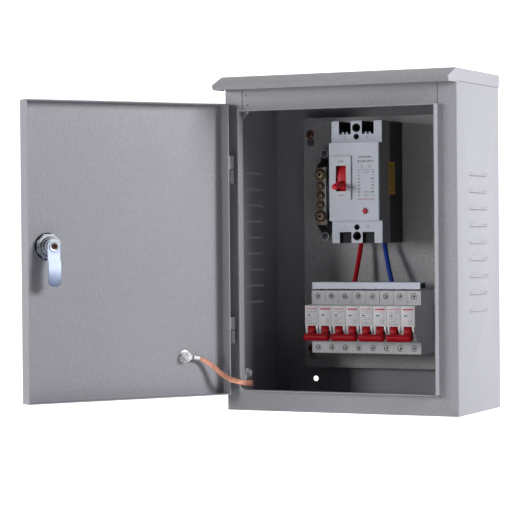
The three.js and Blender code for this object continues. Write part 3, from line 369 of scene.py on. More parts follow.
# ------------------------------------------------------------------ mesh helpers
class Build:
    """Collects faces, in millimetres, into one mesh with several materials."""

    def __init__(self, name, place=P):
        self.name, self.place = name, place
        self.v, self.f, self.m, self.mats = [], [], [], []

    def slot(self, mat):
        if mat not in self.mats:
            self.mats.append(mat)
        return self.mats.index(mat)

    def faces(self, verts, faces, mat):
        k, s = len(self.v), self.slot(mat)
        self.v += [self.place(*p) for p in verts]
        self.f += [[k + i for i in f] for f in faces]
        self.m += [s] * len(faces)

    def slab(self, x0, x1, y0, y1, z0, z1, mat, r=0.0):
        """A block with chamfered edges all round."""
        r = max(0.0, min(r, (x1 - x0) * 0.45, (y1 - y0) * 0.45, (z1 - z0) * 0.45))
        if r == 0:
            v = [(x, y, z) for x in (x0, x1) for y in (y0, y1) for z in (z0, z1)]
            f = [(0, 1, 3, 2), (4, 6, 7, 5), (0, 4, 5, 1), (2, 3, 7, 6), (0, 2, 6, 4), (1, 5, 7, 3)]
            self.faces(v, f, mat)
            return
        bm = bmesh.new()
        bmesh.ops.create_cube(bm, size=1)
        for q in bm.verts:
            q.co = Vector(((x0 + x1) / 2 + q.co.x * (x1 - x0), (y0 + y1) / 2 + q.co.y * (y1 - y0), (z0 + z1) / 2 + q.co.z * (z1 - z0)))
        bmesh.ops.bevel(bm, geom=bm.edges[:], offset=r, segments=2, profile=0.6, affect="EDGES")
        bm.verts.index_update()
        self.faces([tuple(q.co) for q in bm.verts], [[q.index for q in f.verts] for f in bm.faces], mat)
        bm.free()

    def turned(self, origin, axis, profile, mat, n=24):
        """A turned piece: profile points are (radius, height along axis)."""
        a = Vector(axis).normalized()
        u = a.orthogonal().normalized()
        w = a.cross(u)
        o = Vector(origin)
        v, f = [], []
        for r, h in profile:
            for i in range(n):
                t = 2 * math.pi * i / n
                v.append(tuple(o + a * h + (u * math.cos(t) + w * math.sin(t)) * max(r, 1e-4)))
        for k in range(len(profile) - 1):
            for i in range(n):
                j = (i + 1) % n
                f.append((k * n + i, k * n + j, (k + 1) * n + j, (k + 1) * n + i))
        self.faces(v, f, mat)

    def screw(self, origin, axis, r, h, mat, cross=0.62, turn=0.3, dark=None, slot=False, rings=9, n=40):
        """A domed screw head with a recessed cross or slot."""
        a = Vector(axis).normalized()
        u = (Vector((0, 0, 1)) if abs(a.z) < 0.5 else Vector((1, 0, 0))).cross(a).normalized()
        w = a.cross(u)
        c, s = math.cos(turn), math.sin(turn)
        u, w = u * c + w * s, w * c - u * s
        o = Vector(origin)
        wd, ln, dp = r * 0.17, r * cross, h * 0.85

        def top(x, y):
            q = math.hypot(x, y) / r
            z = h * (1 - 0.42 * q * q)
            if q > 0.93:
                z -= h * 0.4
            ax, ay = abs(x), abs(y)
            inside = (ay < wd and ax < ln) or (not slot and ax < wd and ay < ln)
            if slot:
                inside = ay < wd and ax < r * 1.2
            return z - (dp if inside else 0), inside

        v, f, mm = [], [], []
        radii = [r * k / rings for k in range(rings + 1)]
        for q in radii:
            for i in range(n):
                t = 2 * math.pi * i / n
                x, y = q * math.cos(t), q * math.sin(t)
                z, _ = top(x, y)
                v.append(tuple(o + u * x + w * y + a * z))
        base = len(v)
        for i in range(n):
            t = 2 * math.pi * i / n
            v.append(tuple(o + (u * math.cos(t) + w * math.sin(t)) * r))
        for k in range(rings):
            for i in range(n):
                j = (i + 1) % n
                f.append((k * n + i, (k + 1) * n + i, (k + 1) * n + j, k * n + j))
                q = (radii[k] + radii[k + 1]) / 2
                t = 2 * math.pi * (i + 0.5) / n
                mm.append(top(q * math.cos(t), q * math.sin(t))[1])
        for i in range(n):
            j = (i + 1) % n
            f.append((rings * n + i, base + i, base + j, rings * n + j))
            mm.append(False)
        self.faces(v, [q for q, g in zip(f, mm) if not g], mat)
        # faces in the recessed cross or slot take the dark material: painted shade in the recess
        self.faces(v, [q for q, g in zip(f, mm) if g], dark or mat)

    def strip(self, rows, mat):
        """A sheet through rows of points."""
        n = len(rows[0])
        v = [p for r in rows for p in r]
        f = [(k * n + i, k * n + i + 1, (k + 1) * n + i + 1, (k + 1) * n + i) for k in range(len(rows) - 1) for i in range(n - 1)]
        self.faces(v, f, mat)

    def done(self, body, slot, smooth=38, subdiv=0):
        me = bpy.data.meshes.new(self.name)
        me.from_pydata([tuple(q) for q in self.v], [], self.f)
        for mt in self.mats:
            me.materials.append(mt)
        for p, k in zip(me.polygons, self.m):
            p.material_index = k
        me.validate()
        bm = bmesh.new()
        bm.from_mesh(me)
        bmesh.ops.remove_doubles(bm, verts=bm.verts[:], dist=1e-6)
        bmesh.ops.recalc_face_normals(bm, faces=bm.faces[:])
        for e in bm.edges:
            e.smooth = len(e.link_faces) == 2 and e.calc_face_angle(0) < math.radians(smooth)
        for q in bm.faces:
            q.smooth = True
        bm.to_mesh(me)
        bm.free()
        o = bpy.data.objects.new(self.name, me)
        bpy.context.scene.collection.objects.link(o)
        if subdiv:
            s = o.modifiers.new("subdivision", "SUBSURF")
            s.levels = s.render_levels = subdiv
        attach(o, body)
        return o


def spline(points, per=12):
    """Centripetal curve through points."""
    p = [Vector(q) for q in points]
    p = [p[0] * 2 - p[1]] + p + [p[-1] * 2 - p[-2]]
    out = []
    for i in range(1, len(p) - 2):
        p0, p1, p2, p3 = p[i - 1 : i + 3]
        t0 = 0.0
        t1 = t0 + max((p1 - p0).length ** 0.5, 1e-6)
        t2 = t1 + max((p2 - p1).length ** 0.5, 1e-6)
        t3 = t2 + max((p3 - p2).length ** 0.5, 1e-6)
        for k in range(per):
            t = t1 + (t2 - t1) * k / per
            a1 = p0 * ((t1 - t) / (t1 - t0)) + p1 * ((t - t0) / (t1 - t0))
            a2 = p1 * ((t2 - t) / (t2 - t1)) + p2 * ((t - t1) / (t2 - t1))
            a3 = p2 * ((t3 - t) / (t3 - t2)) + p3 * ((t - t2) / (t3 - t2))
            b1 = a1 * ((t2 - t) / (t2 - t0)) + a2 * ((t - t0) / (t2 - t0))
            b2 = a2 * ((t3 - t) / (t3 - t1)) + a3 * ((t - t1) / (t3 - t1))
            out.append(b1 * ((t2 - t) / (t2 - t1)) + b2 * ((t - t1) / (t2 - t1)))
    out.append(p[-2])
    return out


def tube_rows(line, radius, n):
    """Rings round a line, with a frame that doesn't twist; radius is a function of (distance, angle)."""
    rows, s = [], 0.0
    t = (line[1] - line[0]).normalized()
    u = t.orthogonal().normalized()
    for i, q in enumerate(line):
        t = (line[min(i + 1, len(line) - 1)] - line[max(i - 1, 0)]).normalized()
        u = (u - t * u.dot(t)).normalized()
        w = t.cross(u)
        if i:
            s += (q - line[i - 1]).length
        ring = []
        for k in range(n):
            a = 2 * math.pi * k / n
            ring.append(q + (u * math.cos(a) + w * math.sin(a)) * radius(s, a))
        rows.append(ring)
    return rows, s


def tube_mesh(name, line, radius, n, mat, place=P):
    rows, length = tube_rows([Vector(q) for q in line], radius, n)
    v = [tuple(place(*q)) for r in rows for q in r]
    f = [(k * n + i, k * n + (i + 1) % n, (k + 1) * n + (i + 1) % n, (k + 1) * n + i) for k in range(len(rows) - 1) for i in range(n)]
    f.append(tuple(range(n))[::-1])
    f.append(tuple((len(rows) - 1) * n + i for i in range(n)))
    me = bpy.data.meshes.new(name)
    me.from_pydata(v, [], f)
    me.materials.append(mat)
    for p in me.polygons:
        p.use_smooth = len(p.vertices) == 4
    o = bpy.data.objects.new(name, me)
    bpy.context.scene.collection.objects.link(o)
    return o, length


# The door's own place: closed coordinates in millimetres, turned open about the hinge.
HX, HY, OPEN = 10.8, -4.3, math.radians(-125.3)
SKIN = -19.6


def door_xyz(x, y, z):
    dx, dy = x - HX, y - HY
    return (HX + dx * math.cos(OPEN) - dy * math.sin(OPEN), HY + dx * math.sin(OPEN) + dy * math.cos(OPEN), z)


def PD(x, y, z):
    return P(*door_xyz(x, y, z))


# ------------------------------------------------------------------ breaker row: screws, labels, cheeks, toggles
M0, PITCH, CASE, POLE = 80.4, 36.1, 35.8, 18.05
rng = random.Random(7)
for i in range(4):
    x0 = M0 + PITCH * i + 0.15
    poles = [x0 + 8.87, x0 + 26.92]
    b = Build("breaker_terminal_screws_%d" % (i + 1))
    for x in poles:
        for z in (137.4, 74.0):
            # dark well round each terminal screw: painted shade
            b.turned((x, 80.95, z), (0, -1, 0), [(3.38, 0), (3.38, 5.7), (3.74, 5.97), (3.38, 5.99)], DARK, 28)
            b.screw((x, 76.9, z), (0, -1, 0), 3.2, 1.6, HEAD, 0.5, rng.uniform(0, 1.5), DARK)
    b.done("enclosure", "zinc")
    lab = Build("breaker_labels_%d" % (i + 1))
    y = 54.0
    for k, x in enumerate(poles):
        # the label field, then the printing
        lab.slab(x - 7.7, x + 7.7, y - 0.12, y - 0.02, 103.0, 125.6, FIELD, 0.02)
        if k == 0:
            for j in range(7):
                w = rng.uniform(1.0, 1.5)
                lab.slab(x - 6.7 + j * 1.9, x - 6.7 + j * 1.9 + w, y - 0.2, y - 0.1, 121.3, 122.9, PRINT_PINK)
            for j, (z, parts) in enumerate([(118.6, 5), (116.6, 4), (111.4, 3), (109.4, 4), (107.4, 3), (105.4, 4), (103.9, 5)]):
                for q in range(parts):
                    a = x - 6.6 + q * 2.7 + rng.uniform(0, 0.4)
                    lab.slab(a, a + rng.uniform(1.0, 2.0), y - 0.2, y - 0.1, z, z + 0.75, PRINT_SOFT if j % 2 else PRINT)
            lab.turned((x + 3.6, y - 0.1, 111.6), (0, -1, 0), [(1.0, 0), (1.0, 0.1), (0.65, 0.1)], PRINT_SOFT, 20)
        else:
            lab.slab(x - 6.4, x + 6.4, y - 0.22, y - 0.1, 121.2, 122.9, PRINT_RED, 0.04)
            for q in range(3):
                lab.slab(x + 1.2 + q * 1.7, x + 1.7 + q * 1.7, y - 0.2, y - 0.1, 106.6 - q * 0.6, 110.0, PRINT_SOFT)
            lab.slab(x - 0.2, x + 5.8, y - 0.2, y - 0.1, 104.6, 105.1, PRINT_SOFT)
        # status window with its rim
        gx = x - 3.6 if k == 0 else x - 3.0
        lab.slab(gx - 2.6, gx + 2.6, y - 0.3, y - 0.1, 113.2, 115.8, CHEEK, 0.08)
        lab.slab(gx - 2.05, gx + 2.05, y - 0.36, y - 0.28, 113.6, 115.4, GREEN, 0.03)
    lab.done("enclosure", "white_plastic")
    ch = Build("breaker_cheeks_%d" % (i + 1))
    for x in poles:
        for s in (-1, 1):
            a = x + s * 6.9
            prof = []
            for q in range(15):
                t = q / 14
                z = 101.3 - t * 16.6
                yy = 53.7 + 8.3 * max(0.0, t - 0.05) ** 1.9
                prof.append((yy, z))
            rows = []
            for yy, z in prof:
                rows.append([(a - 1.25, yy + 1.8, z), (a - 1.25, yy + 0.3, z), (a - 0.9, yy - 0.05, z), (a, yy - 0.16, z), (a + 0.9, yy - 0.05, z), (a + 1.25, yy + 0.3, z), (a + 1.25, yy + 1.8, z)])
            ch.strip(rows, CHEEK)
            ch.strip([rows[0], [(p[0], p[1] + 0.0, p[2] + 0.35) if 1 <= n_ <= 5 else (p[0], p[1] + 0.4, p[2] + 0.1) for n_, p in enumerate(rows[0])]], CHEEK)
    # shadow joints beside the cheeks
    for x in (x0 + 0.55, x0 + 17.9, x0 + 35.25):
        rows = []
        for q in range(13):
            t = q / 12
            z = 101.4 - t * 16.4
            yy = 53.86 + 8.3 * max(0.0, t - 0.05) ** 1.9
            rows.append([(x - 0.42, yy, z), (x + 0.42, yy, z)])
        ch.strip(rows, GAPDARK)
    ch.done("enclosure", "white_plastic", 60)

    # toggle: tied bar, two stems and two drums, smooth all over
    t = Build("breaker_toggle_shape_%d" % (i + 1))
    cx_, cy_, cz_ = x0 + CASE / 2, 60.0, 94.5
    tilt = math.radians(31)

    def tog(x, r, h):
        # r forward along the arm, h across it
        yy, zz = -r, h
        return (cx_ + x, cy_ + yy * math.cos(tilt) - zz * math.sin(tilt), cz_ + yy * math.sin(tilt) + zz * math.cos(tilt))

    n = 28
    sect = []
    for q in range(n):
        a = 2 * math.pi * q / n
        e = 2.6
        c, s = math.cos(a), math.sin(a)
        sect.append((math.copysign(abs(c) ** (2 / e), c) * 4.15, math.copysign(abs(s) ** (2 / e), s) * 4.45))
    rows = []
    xs = [-16.65, -16.6, -16.3, -15.7, -14.9, -12, -9, -4, 0, 4, 9, 12, 14.9, 15.7, 16.3, 16.6, 16.65]
    ks = [0.05, 0.55, 0.78, 0.9, 0.97, 1, 1, 1, 1, 1, 1, 1, 0.97, 0.9, 0.78, 0.55, 0.05]
    for x, k in zip(xs, ks):
        rows.append([tog(x, 12.98 + a * k * 0.955, h * k * 0.97) for a, h in sect] + [tog(x, 12.98 + sect[0][0] * k * 0.955, sect[0][1] * k * 0.97)])
    t.strip(rows, RED)
    for px in (-POLE / 2, POLE / 2):
        # drum sector with rounded shoulders
        rows = []
        for x, k in ((-4.65, 0.9), (-4.6, 0.965), (-4.2, 0.995), (0, 1), (4.2, 0.995), (4.6, 0.965), (4.65, 0.9)):
            row = []
            for q in range(31):
                a = math.radians(-80 + q * 170 / 30)
                row.append(tog(px + x, 8.0 * k * math.cos(a), 8.0 * k * math.sin(a)))
            rows.append(row)
        t.strip(rows, RED)
        # stem running out to the bar, hollowed at its sides
        rows = []
        for q in range(9):
            r = 3 + q * 1.2
            wd = 4.3 - 0.5 * math.sin(math.pi * q / 8)
            hh = 2.4 + 0.45 * (q / 8) ** 2
            rows.append([tog(px + a, r, h) for a, h in ((-wd, -hh), (-wd, hh * 0.7), (-wd + 0.5, hh), (wd - 0.5, hh), (wd, hh * 0.7), (wd, -hh), (-wd, -hh))])
        t.strip(rows, RED)
        # grip ribs over the drum
        for q in range(3):
            a = math.radians(52 + q * 9)
            rows = []
            for x in (-3.4, 3.4):
                rows.append([tog(px + x, (7.96 + d) * math.cos(a + w_), (7.96 + d) * math.sin(a + w_)) for w_, d in ((-0.035, 0), (-0.02, 0.1), (0.02, 0.1), (0.035, 0))])
            t.strip(rows, RED)
    o = t.done("toggle_%d" % (i + 1), "red_plastic", 45)
    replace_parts(o, "breaker_toggle_%d" % (i + 1))

# ------------------------------------------------------------------ main breaker: printing, screws, clamps, seal, lever
b = Build("main_breaker_printing")
y = 49.98
b.slab(154.8, 171.8, y - 0.08, y + 0.02, 305.2, 308.0, PRINT_SOFT, 0.02)
for q in range(9):
    a = 153.6 + q * 2.4
    b.slab(a, a + 1.7, y - 0.08, y + 0.02, 300.2, 302.9, PRINT_SOFT if q % 3 else PRINT)
for cx_, rr in ((158.8, 2.1), (169.6, 1.9)):
    b.turned((cx_, y, 295.2), (0, -1, 0), [(rr, 0), (rr, 0.09), (rr - 0.5, 0.09)], PRINT_SOFT, 28)
    b.slab(cx_ - 1.0, cx_ + 1.0, y - 0.1, y, 294.9, 295.5, PRINT_SOFT)
b.slab(152.9, 175.6, y - 0.08, y + 0.02, 291.0, 291.4, PRINT)
for q in range(8):
    z = 287.6 - q * 4.0
    w = rng.uniform(1.6, 4.6)
    b.slab(154.4, 154.4 + w * 0.6, y - 0.08, y + 0.02, z, z + 1.5, PRINT)
    b.slab(175.0 - w, 175.0, y - 0.08, y + 0.02, z, z + 1.5, PRINT_SOFT if q % 2 else PRINT)
    if q in (0, 6, 7):
        b.slab(161.5, 168.5, y - 0.08, y + 0.02, z, z + 1.3, PRINT_SOFT)
for q in range(9):
    a = 153.4 + q * 2.5
    b.slab(a, a + 1.8, y - 0.08, y + 0.02, 254.6, 256.3, PRINT_PINK if q % 2 else PRINT_SOFT)
# plain on and off marks above and below the window
ye = 50 - 1.92
for z in (301.0, 259.6):
    b.slab(128.9, 135.6, ye - 0.08, ye + 0.02, z, z + 1.6, PRINT_SOFT, 0.02)
# terminal marks: one or two plain bars
yb = 59.48
for cx_, z, count in ((133.2, 328.8, 1), (163.3, 328.8, 2), (133.2, 220.4, 1), (163.3, 220.4, 2)):
    for q in range(count):
        a = cx_ - count * 0.9 + q * 1.8
        b.slab(a, a + 0.8, yb - 0.08, yb + 0.02, z, z + 4.2, PRINT_SOFT)
b.done("enclosure", "grey_plastic")

b = Build("main_breaker_seal")
xs_ = 181.62
b.slab(xs_, xs_ + 0.22, 79.2, 101.0, 261.5, 301.2, YELLOW, 0.05)
for q in range(9):
    b.slab(xs_ + 0.2, xs_ + 0.26, 82.0 + (q % 2) * 0.6, 97.5 - (q % 3), 264.4 + q * 3.8, 265.5 + q * 3.8, PRINT_RED if q % 4 == 1 else GAPDARK)
b.done("enclosure", "grey_plastic")

b = Build("main_breaker_screws")
# dark hole linings and rim lines round these screws are painted shade
for z in (342.6, 211.0):
    b.turned((148.3, 84, z), (0, -1, 0), [(0, 0), (4.86, 0), (4.86, 24.3)], DARK, 32)
    b.screw((148.3, 83, z), (0, -1, 0), 3.9, 2.4, BLACK, 0.7, 0.4, DARK)
for z in (331.9, 221.7):
    b.turned((148.3, 71.2, z), (0, -1, 0), [(0, 0), (3.06, 0), (3.06, 11.6)], DARK, 28)
    b.screw((148.3, 68.6, z), (0, -1, 0), 2.7, 2.2, ZINC, 0.7, 0.9, DARK)
    b.turned((148.3, 59.44, z), (0, -1, 0), [(3.12, 0), (3.6, 0.05), (3.12, 0.09)], DARK, 28)
for z in (342.6, 211.0):
    b.turned((148.3, 59.44, z), (0, -1, 0), [(4.92, 0), (5.4, 0.05), (4.92, 0.09)], DARK, 32)
# dark linings of the upper wire slots as painted shade, and the clamp plates with their screws deep in all four
for a0, a1 in ((125.4, 141.0), (155.6, 171.2)):
    for z0, z1 in ((337.7, 350.9), (202.6, 215.85)):
        b.slab(a0 + 0.05, a0 + 0.3, 60.2, 103.5, z0, z1, DARK)
        b.slab(a1 - 0.3, a1 - 0.05, 60.2, 103.5, z0, z1, DARK)
    b.slab(a0 + 0.3, a1 - 0.3, 63.4, 103.5, 335.05, 335.3, DARK)
    b.slab(a0 + 0.3, a1 - 0.3, 60.2, 103.5, 215.6, 215.85, DARK)
    # grey shutters low in the lower slots, clear of the wires behind them
    b.slab(a0 + 2.4, a1 - 0.35, 64.0, 65.2, 202.7, 214.4, SHUTTER, 0.2)
for a0, a1 in ((125.4, 141.0), (155.6, 171.2)):
    xc = (a0 + a1) / 2
    for z0, z1, zc in ((335.4, 349.4, 343.4), (204.0, 215.6, 209.4)):
        b.slab(a0 + 1.0, a1 - 1.0, 104.0, 107.6, z0, z1, BLACK, 0.5)
        b.screw((xc, 104.0, zc), (0, -1, 0), 4.2, 2.8, HEAD_DIM, 0.72, 0.7 + xc * 0.1, DARK)
b.done("enclosure", "zinc")

b = Build("main_breaker_lever_shape")
LX, LY, LZ, tilt = 132.4, 80.0, 281.0, math.radians(12)


def lev(x, r, h):
    yy, zz = -r, h
    return (LX + x, LY + yy * math.cos(tilt) - zz * math.sin(tilt), LZ + yy * math.sin(tilt) + zz * math.cos(tilt))


rows = []
for x, k in ((-6.75, 0.984), (-6.6, 0.996), (-6.2, 1), (0, 1), (6.2, 1), (6.6, 0.996), (6.75, 0.984)):
    row = []
    for q in range(37):
        a = math.radians(-39 + q * 83 / 36)
        row.append(lev(x, 29.5 * k * math.cos(a), 29.5 * k * math.sin(a)))
    for q in range(37):
        a = math.radians(44 - q * 83 / 36)
        row.append(lev(x, 27.0 * math.cos(a), 27.0 * math.sin(a)))
    row.append(row[0])
    rows.append(row)
b.strip(rows, LEVER_RED)
for end in (rows[0], rows[-1]):
    b.strip([end[:37], list(reversed(end[37:74]))], LEVER_RED)
# handle: rounded section, waisted, closed by a domed tip
rows = []
for r, wd, hh in ((20, 4.2, 3.6), (27, 4.15, 3.5), (29, 3.9, 3.3), (33, 3.75, 3.15), (40, 3.85, 3.1), (47, 4.05, 3.15), (51, 4.1, 3.0), (52.8, 3.8, 2.6), (53.6, 3.0, 1.9), (53.95, 1.6, 0.9), (54, 0.05, 0.05)):
    ring = []
    for q in range(29):
        a = 2 * math.pi * q / 28
        c, s = math.cos(a), math.sin(a)
        ring.append(lev(math.copysign(abs(c) ** 0.7, c) * wd, r, math.copysign(abs(s) ** 0.7, s) * hh))
    rows.append(ring)
b.strip(rows, LEVER_RED)
for k in range(5):
    r = 43.5 + k * 1.7
    b.strip([[lev(x, r + d, hh) for d, hh in ((-0.35, 3.02), (-0.15, 3.3), (0.15, 3.3), (0.35, 3.02))] for x in (-2.9, 2.9)], LEVER_RED)
b.turned(lev(-6.7, 0, 0), (1, 0, 0), [(0, 0), (3.7, 0), (4.2, 0.5), (4.2, 12.9), (3.7, 13.4), (0, 13.4)], LEVER_RED, 24)
b.slab(LX - 4, LX + 4, LY - 26.5, LY, LZ - 6.5, LZ - 2.5, LEVER_RED, 0.4)
o = b.done("main_lever", "red_plastic", 42)
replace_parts(o, "main_breaker_lever")

# a collar round the test button
b = Build("test_button_collar")
b.turned((163.4, 49.98, 241.1), (0, -1, 0), [(3.45, 0), (3.45, 0.28), (3.75, 0.42), (4.15, 0.42), (4.45, 0.2), (4.5, 0)], GREY_RAISED, 36)
b.done("enclosure", "grey_plastic")

# ------------------------------------------------------------------ wires and strap
red_path = [(133.2, 110, 214), (133.1, 109.8, 204), (131.2, 105.0, 182), (128.6, 99.6, 158), (126.2, 99.2, 149), (125.6, 99.2, 137)]
blue_path = [(163.3, 110.3, 214), (163.8, 110.0, 204), (169.2, 104.8, 182), (176.3, 99.6, 158), (179.2, 99.2, 149), (179.7, 99.2, 137)]
for nm, path, mat, node, slot in (("live_wire", red_path, WIRE_RED, "wire_live", "red_wire"), ("neutral_wire", blue_path, WIRE_BLUE, "wire_neutral", "blue_wire")):
    line = spline(path, 10)

    def rad(s, a, line=line):
        return 2.93 + 0.02 * math.sin(s * 0.35 + a)

    o, _ = tube_mesh(nm, line, rad, 24, mat)
    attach(o, "enclosure")
    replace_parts(o, node)


# The earth strap's middle line, the way its flat side faces, and its width: the same rows as in the CAD source.
STRAP = [
    ((-19.9, -34.8, 64.4), (0.816, -0.578, 0), 4.2),
    ((-15.5, -30.4, 61.6), (0.816, -0.578, 0.05), 5.5),
    ((-10.2, -26.9, 57.6), (0.8, -0.58, 0.1), 6.3),
    ((-4.5, -24.2, 52.3), (0.79, -0.58, 0.14), 6.7),
    ((1.5, -22.1, 46.5), (0.78, -0.58, 0.18), 6.8),
    ((7.5, -20.4, 42.3), (0.77, -0.6, 0.2), 6.9),
    ((13.3, -18.5, 39.0), (0.77, -0.6, 0.2), 7),
    ((18.7, -16.0, 37.1), (0.79, -0.58, 0.2), 7),
    ((23.4, -12.5, 35.2), (0.84, -0.52, 0.18), 7),
    ((27.0, -7.8, 34.0), (0.9, -0.4, 0.15), 7),
    ((29.4, -2.2, 33.4), (0.96, -0.25, 0.1), 7),
    ((30.4, 3.8, 33.2), (0.99, -0.08, 0.1), 7),
    ((29.4, 9.9, 32.8), (0.98, 0.15, 0.1), 6.9),
    ((26.1, 15.3, 32.0), (0.94, 0.32, 0.1), 6.7),
    ((20.9, 19.2, 31.6), (0.92, 0.38, 0.11), 6.2),
    ((14.8, 21.9, 32.0), (0.94, 0.33, 0.12), 5.3),
    ((8.3, 25.2, 32.8), (0.99, 0.12, 0.1), 4.4),
]
STRAP_THICK = 2.1
PER = 24
line = spline([q[0] for q in STRAP], PER)
pitch = 5.2
verts, faces, run = [], [], 0.0
across_n = 22
for i, q in enumerate(line):
    k = i / PER
    j = min(int(k), len(STRAP) - 2)
    w = k - j
    face = (Vector(STRAP[j][1]) * (1 - w) + Vector(STRAP[j + 1][1]) * w).normalized()
    width = STRAP[j][2] * (1 - w) + STRAP[j + 1][2] * w
    along = (line[min(i + 1, len(line) - 1)] - line[max(i - 1, 0)]).normalized()
    across = along.cross(face).normalized()
    out = across.cross(along).normalized()
    if i:
        run += (q - line[i - 1]).length
    for side in (1, -1):
        for e in range(across_n):
            t = -1 + 2 * e / (across_n - 1)
            if side < 0:
                t = -t
            # flat plait: rounded edges, slanting bundles that pass over and under each other
            flat = (1 - abs(t) ** 5) ** 0.5 if abs(t) < 1 else 0.0
            a = run / pitch + t * 0.9
            b_ = run / pitch - t * 0.9
            one = 0.5 + 0.5 * math.cos(2 * math.pi * 2.0 * a)
            two = 0.5 + 0.5 * math.cos(2 * math.pi * 2.0 * b_)
            over = 0.5 + 0.5 * math.sin(2 * math.pi * (a - b_) * 1.1)
            lift = (one * over + two * (1 - over)) * 0.3
            verts.append(q + across * (t * width / 2 * 0.98) + out * side * ((STRAP_THICK / 2 - 0.32) * flat + lift * flat))
n2 = across_n * 2
for i in range(len(line) - 1):
    for e in range(n2):
        f_ = (e + 1) % n2
        faces.append((i * n2 + e, i * n2 + f_, (i + 1) * n2 + f_, (i + 1) * n2 + e))
faces.append(tuple(range(n2)))
faces.append(tuple((len(line) - 1) * n2 + e for e in range(n2))[::-1])
n_ = Nodes("braided_copper")
strands = n_.n("TexWave", Scale=900.0, Distortion=1.6)
strands.bands_direction = "DIAGONAL"
n_.link(n_.c, strands.inputs["Vector"])
col = n_.mix(n_.ramp(n_.noise(300, 3), 0.3, 0.7, (0.62, 0.24, 0.14), (0.86, 0.42, 0.28)), n_.ramp(strands.outputs["Fac"], 0.2, 0.8, (0.34, 0.1, 0.06), (0.95, 0.52, 0.38)), 0.5)
n_.set(color=col, metal=0.7, rough=0.36, coat=0.3, coat_rough=0.2)
n_.bump([(strands.outputs["Fac"], 0.0002, 0.6)])
me = bpy.data.meshes.new("braided_strap")
me.from_pydata([tuple(P(*q)) for q in verts], [], faces)
me.materials.append(n_.mat)
bm = bmesh.new()
bm.from_mesh(me)
bmesh.ops.remove_doubles(bm, verts=bm.verts[:], dist=1e-7)
bmesh.ops.recalc_face_normals(bm, faces=bm.faces[:])
for q in bm.faces:
    q.smooth = True
bm.to_mesh(me)
bm.free()
strap = bpy.data.objects.new("braided_strap", me)
bpy.context.scene.collection.objects.link(strap)
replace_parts(strap, "earth_strap")
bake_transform(strap)

# ------------------------------------------------------------------ small marks of manufacture
b = Build("spot_welds")
for x, z in ((28.6, 383.0), (30.6, 370.9)):
    b.turned((x, -0.02, z), (0, -1, 0), [(0, 0.05), (0.75, 0.07), (0.95, 0.04), (1.05, 0.0)], WELD_DARK, 20)
for x, z in ((65.4, 367.9), (65.9, 41.3), (234.6, 367.9), (234.1, 41.3)):
    b.turned((x, 145.28, z), (0, -1, 0), [(0, 0.02), (1.0, 0.05), (1.9, 0.22), (2.3, 0.08), (2.5, 0)], WELD, 22)
b.done("enclosure", "zinc")

b = Build("hinge_weld_beads")
for z0, z1 in ((81.9, 97.3), (276.8, 292.5)):
    for k in range(9):
        z = z0 + (z1 - z0) * (k + 0.5) / 9
        b.turned((2.0, -0.35, z), (0, -1, 0), [(1.05, 0), (0.95, 0.4), (0.55, 0.85), (0, 1.0)], PAINT, 12)
b.done("enclosure", "paint")

# dark seams beside the top rail, and the painted-over joints at the lower corners
b = Build("frame_seams")
for x0, x1 in ((23.1, 23.7), (275.6, 276.2)):
    z = 364.8
    while z < 388.5:
        h_ = rng.uniform(1.4, 3.2)
        d0, d1 = rng.uniform(0.05, 0.3), rng.uniform(0.05, 0.3)
        b.slab(x0 - d0, x1 + d1, -0.035, 0.02, z, min(z + h_, 389.0), GAPDARK)
        z += h_
b.done("enclosure", "paint")
b = Build("corner_fill")
for side, t0 in ((-1, 0.0), (1, 0.16)):
    inner = Vector((23.1 if side < 0 else 274.6, 0, 25.3))
    outer = Vector((3.3 if side < 0 else 296.7, 0, 2.45))
    a = inner.lerp(outer, t0)
    d = (outer - inner).normalized()
    w_ = Vector((d.z, 0, -d.x))
    rows = []
    for t in (0.0, 0.25, 0.5, 0.75, 1.0):
        q = a.lerp(outer, t)
        rows.append([tuple(q + w_ * o_ + Vector((0, y_, 0))) for o_, y_ in ((-1.9, 0.02), (-1.5, -0.06), (-0.6, -0.09), (0.6, -0.09), (1.5, -0.06), (1.9, 0.02))])
    b.strip(rows, PAINT)
b.done("enclosure", "paint")
# weld fill along the inner rear corners
b = Build("rear_corner_fill")
for x0, x1 in ((1.22, 2.5), (297.5, 298.78)):
    b.slab(x0, x1, 144.0, 145.28, 1.6, 402.9, PAINT, 0.3)
for z0, z1 in ((1.22, 2.5), (401.8, 403.08)):
    b.slab(1.4, 298.6, 144.0, 145.28, z0, z1, PAINT, 0.3)
b.done("enclosure", "paint")
# shadow line where the two halves of each hinge knuckle meet
b = Build("hinge_splits")
for z in (97.8, 293.0):
    b.turned((HX, HY, z - 0.55), (0, 0, 1), [(2.71, 0), (2.78, 0.2), (2.78, 0.9), (2.71, 1.1)], DARK, 28)
b.done("enclosure", "paint")
# painted shadow in the open right end of the busbar channel and in the gap beneath the channel
b = Build("busbar_end_shadow")
b.slab(223.71, 223.82, 76.6, 93.4, 146.6, 153.2, DARK, 0.0)
b.slab(81.5, 223.0, 75.6, 94.4, 145.7, 145.95, DARK, 0.0)
b.done("enclosure", "grey_plastic")
